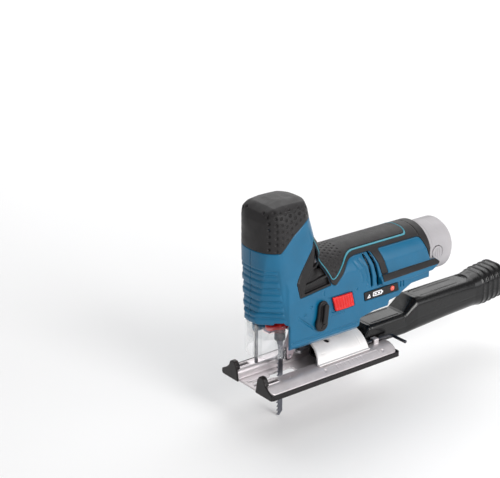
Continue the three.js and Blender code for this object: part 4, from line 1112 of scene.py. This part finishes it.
def bevel_bracket():
    g = Grid((-28, 19, 10.5), (28, 89, 28.6), 0.5)
    away = np.hypot(g.x, g.z)
    wide = np.abs(g.x)
    arch = both(away - 27.5, 25.5 - away, 11.3 - g.z, slab(g.y, 24, 88))
    slant = outline(g.y, g.z, [(10, 40), (10, 0), (24.2, 0), (24.2, 8.2), (34, 32.2), (36, 40)])
    arch = cut(arch, slant)
    foot = both(slab(wide, 22.1, 26.6), slab(g.y, 26, 88), slab(g.z, 11.3, 12.5), 25.5 - away)
    arch = soft_join(arch, foot, 0.5)
    arch = soft_both(arch, g.y - 88, 0.6)
    for x in (9.0, -9.0):
        arch = cut(arch, both(np.hypot(g.x - x, g.y - 48) - 2.75, 14 - g.z))
    angle = np.degrees(np.arctan2(g.x, g.z))
    for deg in (-45, -30, -15, 15, 30, 45):
        reach = 38.0 if abs(deg) != 30 else 36.5
        mark = both(np.abs(angle - deg) * 0.48 - 0.22, slab(g.y, 33.5 if abs(deg) > 20 else 36, reach))
        arch = cut(arch, both(mark, 27.15 - away))
    line = both(np.abs(g.y - 80) - 0.3, np.abs(angle) - 52, 27.2 - away)
    arch = cut(arch, line)
    return moulded("bracket_sheet", arch, g, "shoe", ["bevel_bracket"], bracket_steel)


# ---- dust pipe ----
PIPE_Y = [46, 92, 98, 146, 160, 205, 240, 252, 281]
PIPE_HALF = [12.6, 12.6, 14, 14, 15, 15, 15.4, 16.6, 16.6]
PIPE_LOW = [3, 3, 5.2, 5, 5, 7, 7.5, 7, 10]
PIPE_HIGH = [15.5, 15.8, 27, 27.5, 39, 39.5, 40, 42, 45]
PIPE_ROUND = [3, 3, 5, 5, 8.5, 9.5, 11.5, 12.5, 12.5]
PIPE_RIBS = [256, 263, 270, 277]


def pipe_section(g, inset):
    low = by_height(g.y, PIPE_Y, PIPE_LOW) + inset
    high = by_height(g.y, PIPE_Y, PIPE_HIGH) - inset
    half = by_height(g.y, PIPE_Y, PIPE_HALF) - inset
    radius = np.maximum(by_height(g.y, PIPE_Y, PIPE_ROUND) - inset * 0.6, 1.5)
    qx = np.abs(g.x) - (half - radius)
    qz = np.abs(g.z - (low + high) / 2) - ((high - low) / 2 - radius)
    return np.hypot(np.maximum(qx, 0), np.maximum(qz, 0)) + np.minimum(np.maximum(qx, qz), 0) - radius


def dust_pipe():
    g = Grid((-18.5, 46, 2.5), (18.5, 281, 46.5), 0.7)
    shell = pipe_section(g, 0)
    # flat channel let into the top, with a half-round end
    channel = stroke(g.x, g.y, [(0, 173), (0, 229)], 9.2)
    top = by_height(g.y, PIPE_Y, PIPE_HIGH)
    shell = soft_cut(shell, soft_both(channel, top - 1.7 - g.z, 0.6), 0.8)
    ridge = both(np.abs(np.abs(g.x) - 5.2) - 0.35, slab(g.y, 172, 222), slab(g.z - top, -2.5, -1.15))
    shell = soft_join(shell, ridge, 0.4)
    # line where the two halves of the moulding meet, and steps on the low part
    seam = both(np.abs(g.z - by_height(g.y, [98, 146, 160, 240, 281], [14, 14, 19, 22, 25])) - 0.25, 99 - g.y)
    shell = deepened(shell, seam, 0.3, 0.2)
    for y in (101.5, 144.0):
        shell = deepened(shell, both(np.abs(g.y - y) - 0.5, 20 - g.z), 0.5, 0.3)
    groove = both(np.abs(np.abs(g.x) - 8.0) - 0.5, slab(g.y, 104, 140), 22 - g.z)
    shell = deepened(shell, groove, 0.45, 0.3)
    swell = np.zeros_like(g.y)
    for y in PIPE_RIBS:
        swell = swell + np.exp(-(((g.y - y - 1.1) / 1.25) ** 4))
    shell = shell - 1.15 * swell
    collar = np.exp(-(((g.y - 250.5) / 1.0) ** 4))
    shell = shell - 0.6 * collar
    shell = soft_both(shell, slab(g.y, 46, 281), 0.8)
    hollow = cut(pipe_section(g, 1.8), both(channel - 1.8, top - 3.5 - g.z))
    shell = cut(shell, hollow)
    mark = both(tube(g.x, g.y, (0, 244), 2.2), 38 - g.z)
    shell = deepened(shell, mark, 0.35, 0.2)
    return moulded("pipe_body", shell, g, "dust_pipe", ["dust_pipe"], pipe_plastic)


# ---- battery ----
def triangle(g, radius, corner):
    """Rounded triangle about the barrel's axis, one corner up."""
    arm = radius - corner
    angles = [math.pi / 2 + k * 2 * math.pi / 3 for k in range(3)]
    points = [(arm * math.cos(a), BARREL_Z + arm * math.sin(a)) for a in angles]
    return outline(g.x, g.z, points) - corner


def battery_shell():
    g = Grid((-26, 114, 62), (26, 195, 115), 0.66)
    away = np.hypot(g.x, g.z - BARREL_Z)
    insert = soft_both(triangle(g, 24.0, 12.6), slab(g.y, 114, 166), 1.0)
    cap = soft_both(away - 25.5, slab(g.y, 161, 191.5), 1.4)
    end = soft_both(away - 22.6, slab(g.y, 185, 195), 2.2)
    pack = join(insert, soft_join(cap, end, 1.0))
    turn = np.arctan2(g.x, g.z - BARREL_Z)
    lands = 0.5 - 0.5 * np.cos(turn * 12)
    belt = by_height(g.y, [176, 178, 188, 190], [0, 1, 1, 0])
    keep = by_height(np.abs(np.abs(g.x) - 25), [7, 9], [0, 1])
    pack = pack + 0.55 * lands * belt * keep
    pack = deepened(pack, both(np.abs(g.y - 165.5) - 0.4, -1.0), 0.45, 0.3)
    pack = deepened(pack, both(np.abs(g.y - 191.0) - 0.35, -1.0), 0.4, 0.3)
    face = both(away - 17.5, 194.1 - g.y)
    pack = soft_cut(pack, face, 0.5)
    ring_mark = both(slab(away, 8.0, 9.0), 193.6 - g.y)
    pack = soft_cut(pack, ring_mark, 0.3)
    wells = both(tube(g.y, g.z, (BUTTON_Y, BARREL_Z), 7.0), 21.5 - np.abs(g.x))
    room = both(triangle(g, 22.2, 10.8), slab(g.y, 116, 182))
    window = brick(g, -8, 8, 113, 117, BARREL_Z - 5, BARREL_Z + 5)
    pack = cut(pack, wells, room, window)
    return moulded("battery_case", pack, g, "battery", ["battery_shell"], pack_plastic)


def battery_button(sign):
    low_x, high_x = span(sign, 22.8, 26)
    g = Grid((low_x, 165, 81.5), (high_x, 179, 95.5), 0.3)
    away = np.hypot(g.y - BUTTON_Y, g.z - BARREL_Z)
    wide = np.abs(g.x)
    button = soft_both(away - 6.5, both(wide - 25.5, 23.8 - wide), 0.7)
    ridges = both(np.abs(np.mod(g.y, 2.4) - 1.2) - 0.4, away - 5, 25.0 - wide)
    button = soft_cut(button, ridges, 0.3)
    name = left_right("button", sign)
    node = "battery_" + name
    return moulded(name, button, g, node, [node], pack_plastic)


# ---- bars and wire ----
def swept(name, path, radius, sides):
    """A bar of that section along a path, in millimetres, closed at both ends."""
    points = [Vector(p) for p in path]
    rings = []
    normal = Vector((0, 0, 1))
    for i, point in enumerate(points):
        ahead = points[min(i + 1, len(points) - 1)] - points[max(i - 1, 0)]
        ahead.normalize()
        normal = (normal - ahead * normal.dot(ahead)).normalized()
        side = ahead.cross(normal)
        ring = [
            point + radius * (math.cos(a) * normal + math.sin(a) * side)
            for a in (2 * math.pi * k / sides for k in range(sides))
        ]
        rings.append(ring)
    verts = [tuple(v) for ring in rings for v in ring]
    faces = []
    for i in range(len(rings) - 1):
        for k in range(sides):
            a, b = i * sides + k, i * sides + (k + 1) % sides
            faces.append((a, b, b + sides, a + sides))
    faces.append(tuple(range(sides))[::-1])
    faces.append(tuple(len(verts) - sides + k for k in range(sides)))
    obj = mesh_object(name, verts, faces, smooth=False)
    soften(obj, 0.25)
    return obj


def soften(obj, width):
    """Rounds a piece's edges by a bevel of that width in millimetres."""
    bevel = obj.modifiers.new("edges", "BEVEL")
    bevel.width = width * MM
    bevel.segments = 2
    bevel.limit_method = "ANGLE"
    bevel.angle_limit = math.radians(30)
    bevel.harden_normals = False
    bevel.use_clamp_overlap = True


def hex_key():
    x, z, bend = KEY_X, KEY_Z, 4.5
    path = [(x, 62, z), (x, 90, z), (x, KEY_REACH - bend, z)]
    for k in range(1, 9):
        a = math.radians(90 * k / 8)
        path.append((x + bend * (1 - math.cos(a)), KEY_REACH - bend + bend * math.sin(a), z))
    path.append((38.3, KEY_REACH, z))
    obj = swept("key_bar", path, 1.72, 6)
    return placed(obj, "hex_key", ["hex_key"], dark_steel)


# ---- working parts kept from the CAD model ----
CAD_LOOKS = [
    (steel, ["motor_can", "drive_gear", "plunger", "fork_pivot_pin", "roller_pin", "bevel_screw"]),
    (dark_steel, [
        "gear_axle", "crank_roller", "counterweight", "bevel_clamp", "magnet_left", "magnet_right",
        "housing_screw_1", "housing_screw_2", "housing_screw_3", "housing_screw_4", "housing_screw_5",
    ]),
    (copper, ["rotor"]),
    (black_plastic, ["motor_end_bell", "cooling_fan", "contact_block", "switch_module"]),
    (board_green, ["circuit_board", "status_board"]),
    (magnesium, ["gear_frame"]),
    (brass, ["upper_bush", "lower_bush"]),
    (wrap, ["battery_cell_1", "battery_cell_2", "battery_cell_3"]),
]


def dress_cad():
    for look, nodes in CAD_LOOKS:
        for node in nodes:
            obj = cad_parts[node]
            for slot in obj.material_slots:
                slot.material = look.material
            soften(obj, 0.22 if node not in ("gear_frame", "motor_can") else 0.35)


for side in (1, -1):
    housing_half(side)
    vent_grille(side)
    wing_strip(side)
    battery_button(side)
for make in (
    head_cap, handle_grip, piping, switch_slider, status_window, status_icons, lamp_lens,
    orbital_lever, release_lever, saw_blade, blade_clamp, pendulum_fork, guide_roller, guard_rod,
    chip_guard, shoe_plate, overshoe, bevel_bracket, dust_pipe, battery_shell, hex_key, dress_cad,
):
    make()


# ---- stage ----
FLOOR_Z = -0.0405
WORLD_LIGHT = 0.36
LAMPS = [  # name, place, aim, size in metres, power in watts, colour
    ("key", (1.25, 0.05, 0.75), (0.0, 0.0, 0.09), (0.5, 0.7), 13, (1, 0.99, 0.98)),
    ("side", (1.25, 0.75, 0.50), (0.0, 0.06, 0.08), (0.9, 0.7), 5, (0.98, 0.99, 1)),
    ("front", (0.55, -1.35, 0.35), (0.0, 0.0, 0.08), (0.16, 1.1), 2.6, (1, 1, 1)),
    ("top", (-0.3, 0.5, 1.5), (0.0, 0.06, 0.08), (1.4, 1.0), 4, (1, 1, 1)),
    ("backdrop", (-1.9, 1.5, 1.5), (-1.7, 1.35, 0.0), (3.4, 3.4), 62, (1, 1, 1)),
]


def studio():
    floor = bpy.data.meshes.new("floor")
    size = 6.0
    corners = [(-size, -size, 0), (size, -size, 0), (size, size, 0), (-size, size, 0)]
    floor.from_pydata(corners, [], [(0, 1, 2, 3)])
    obj = bpy.data.objects.new("floor", floor)
    bpy.context.scene.collection.objects.link(obj)
    obj.location.z = FLOOR_Z
    paper = Finish("floor_paper", (0.86, 0.86, 0.865, 1), 0.75).drift(1.2, 0.01)
    paper.grain(300, 0.05)
    floor.materials.append(paper.material)
    for name, place, aim, size, power, colour in LAMPS:
        data = bpy.data.lights.new(name, "AREA")
        data.shape = "RECTANGLE"
        data.size, data.size_y = size
        data.energy = power
        data.color = colour
        lamp = bpy.data.objects.new(name, data)
        bpy.context.scene.collection.objects.link(lamp)
        lamp.location = place
        toward = Vector(aim) - Vector(place)
        lamp.rotation_euler = toward.to_track_quat("-Z", "Y").to_euler()
    world = bpy.data.worlds.new("studio")
    world.use_nodes = True
    world.node_tree.nodes["Background"].inputs[0].default_value = (1, 1, 1, 1)
    world.node_tree.nodes["Background"].inputs[1].default_value = WORLD_LIGHT
    bpy.context.scene.world = world
    bpy.context.scene.view_settings.view_transform = "Standard"


studio()

camera_data = bpy.data.cameras.new("camera")
camera = bpy.data.objects.new("camera", camera_data)
bpy.context.scene.collection.objects.link(camera)
camera.location = (0.8756, -0.7452, 0.5650)
camera.rotation_euler = (math.radians(69.05), 0, math.radians(52.53))
camera_data.lens = 98.0
camera_data.sensor_width = 36.0
bpy.context.scene.camera = camera
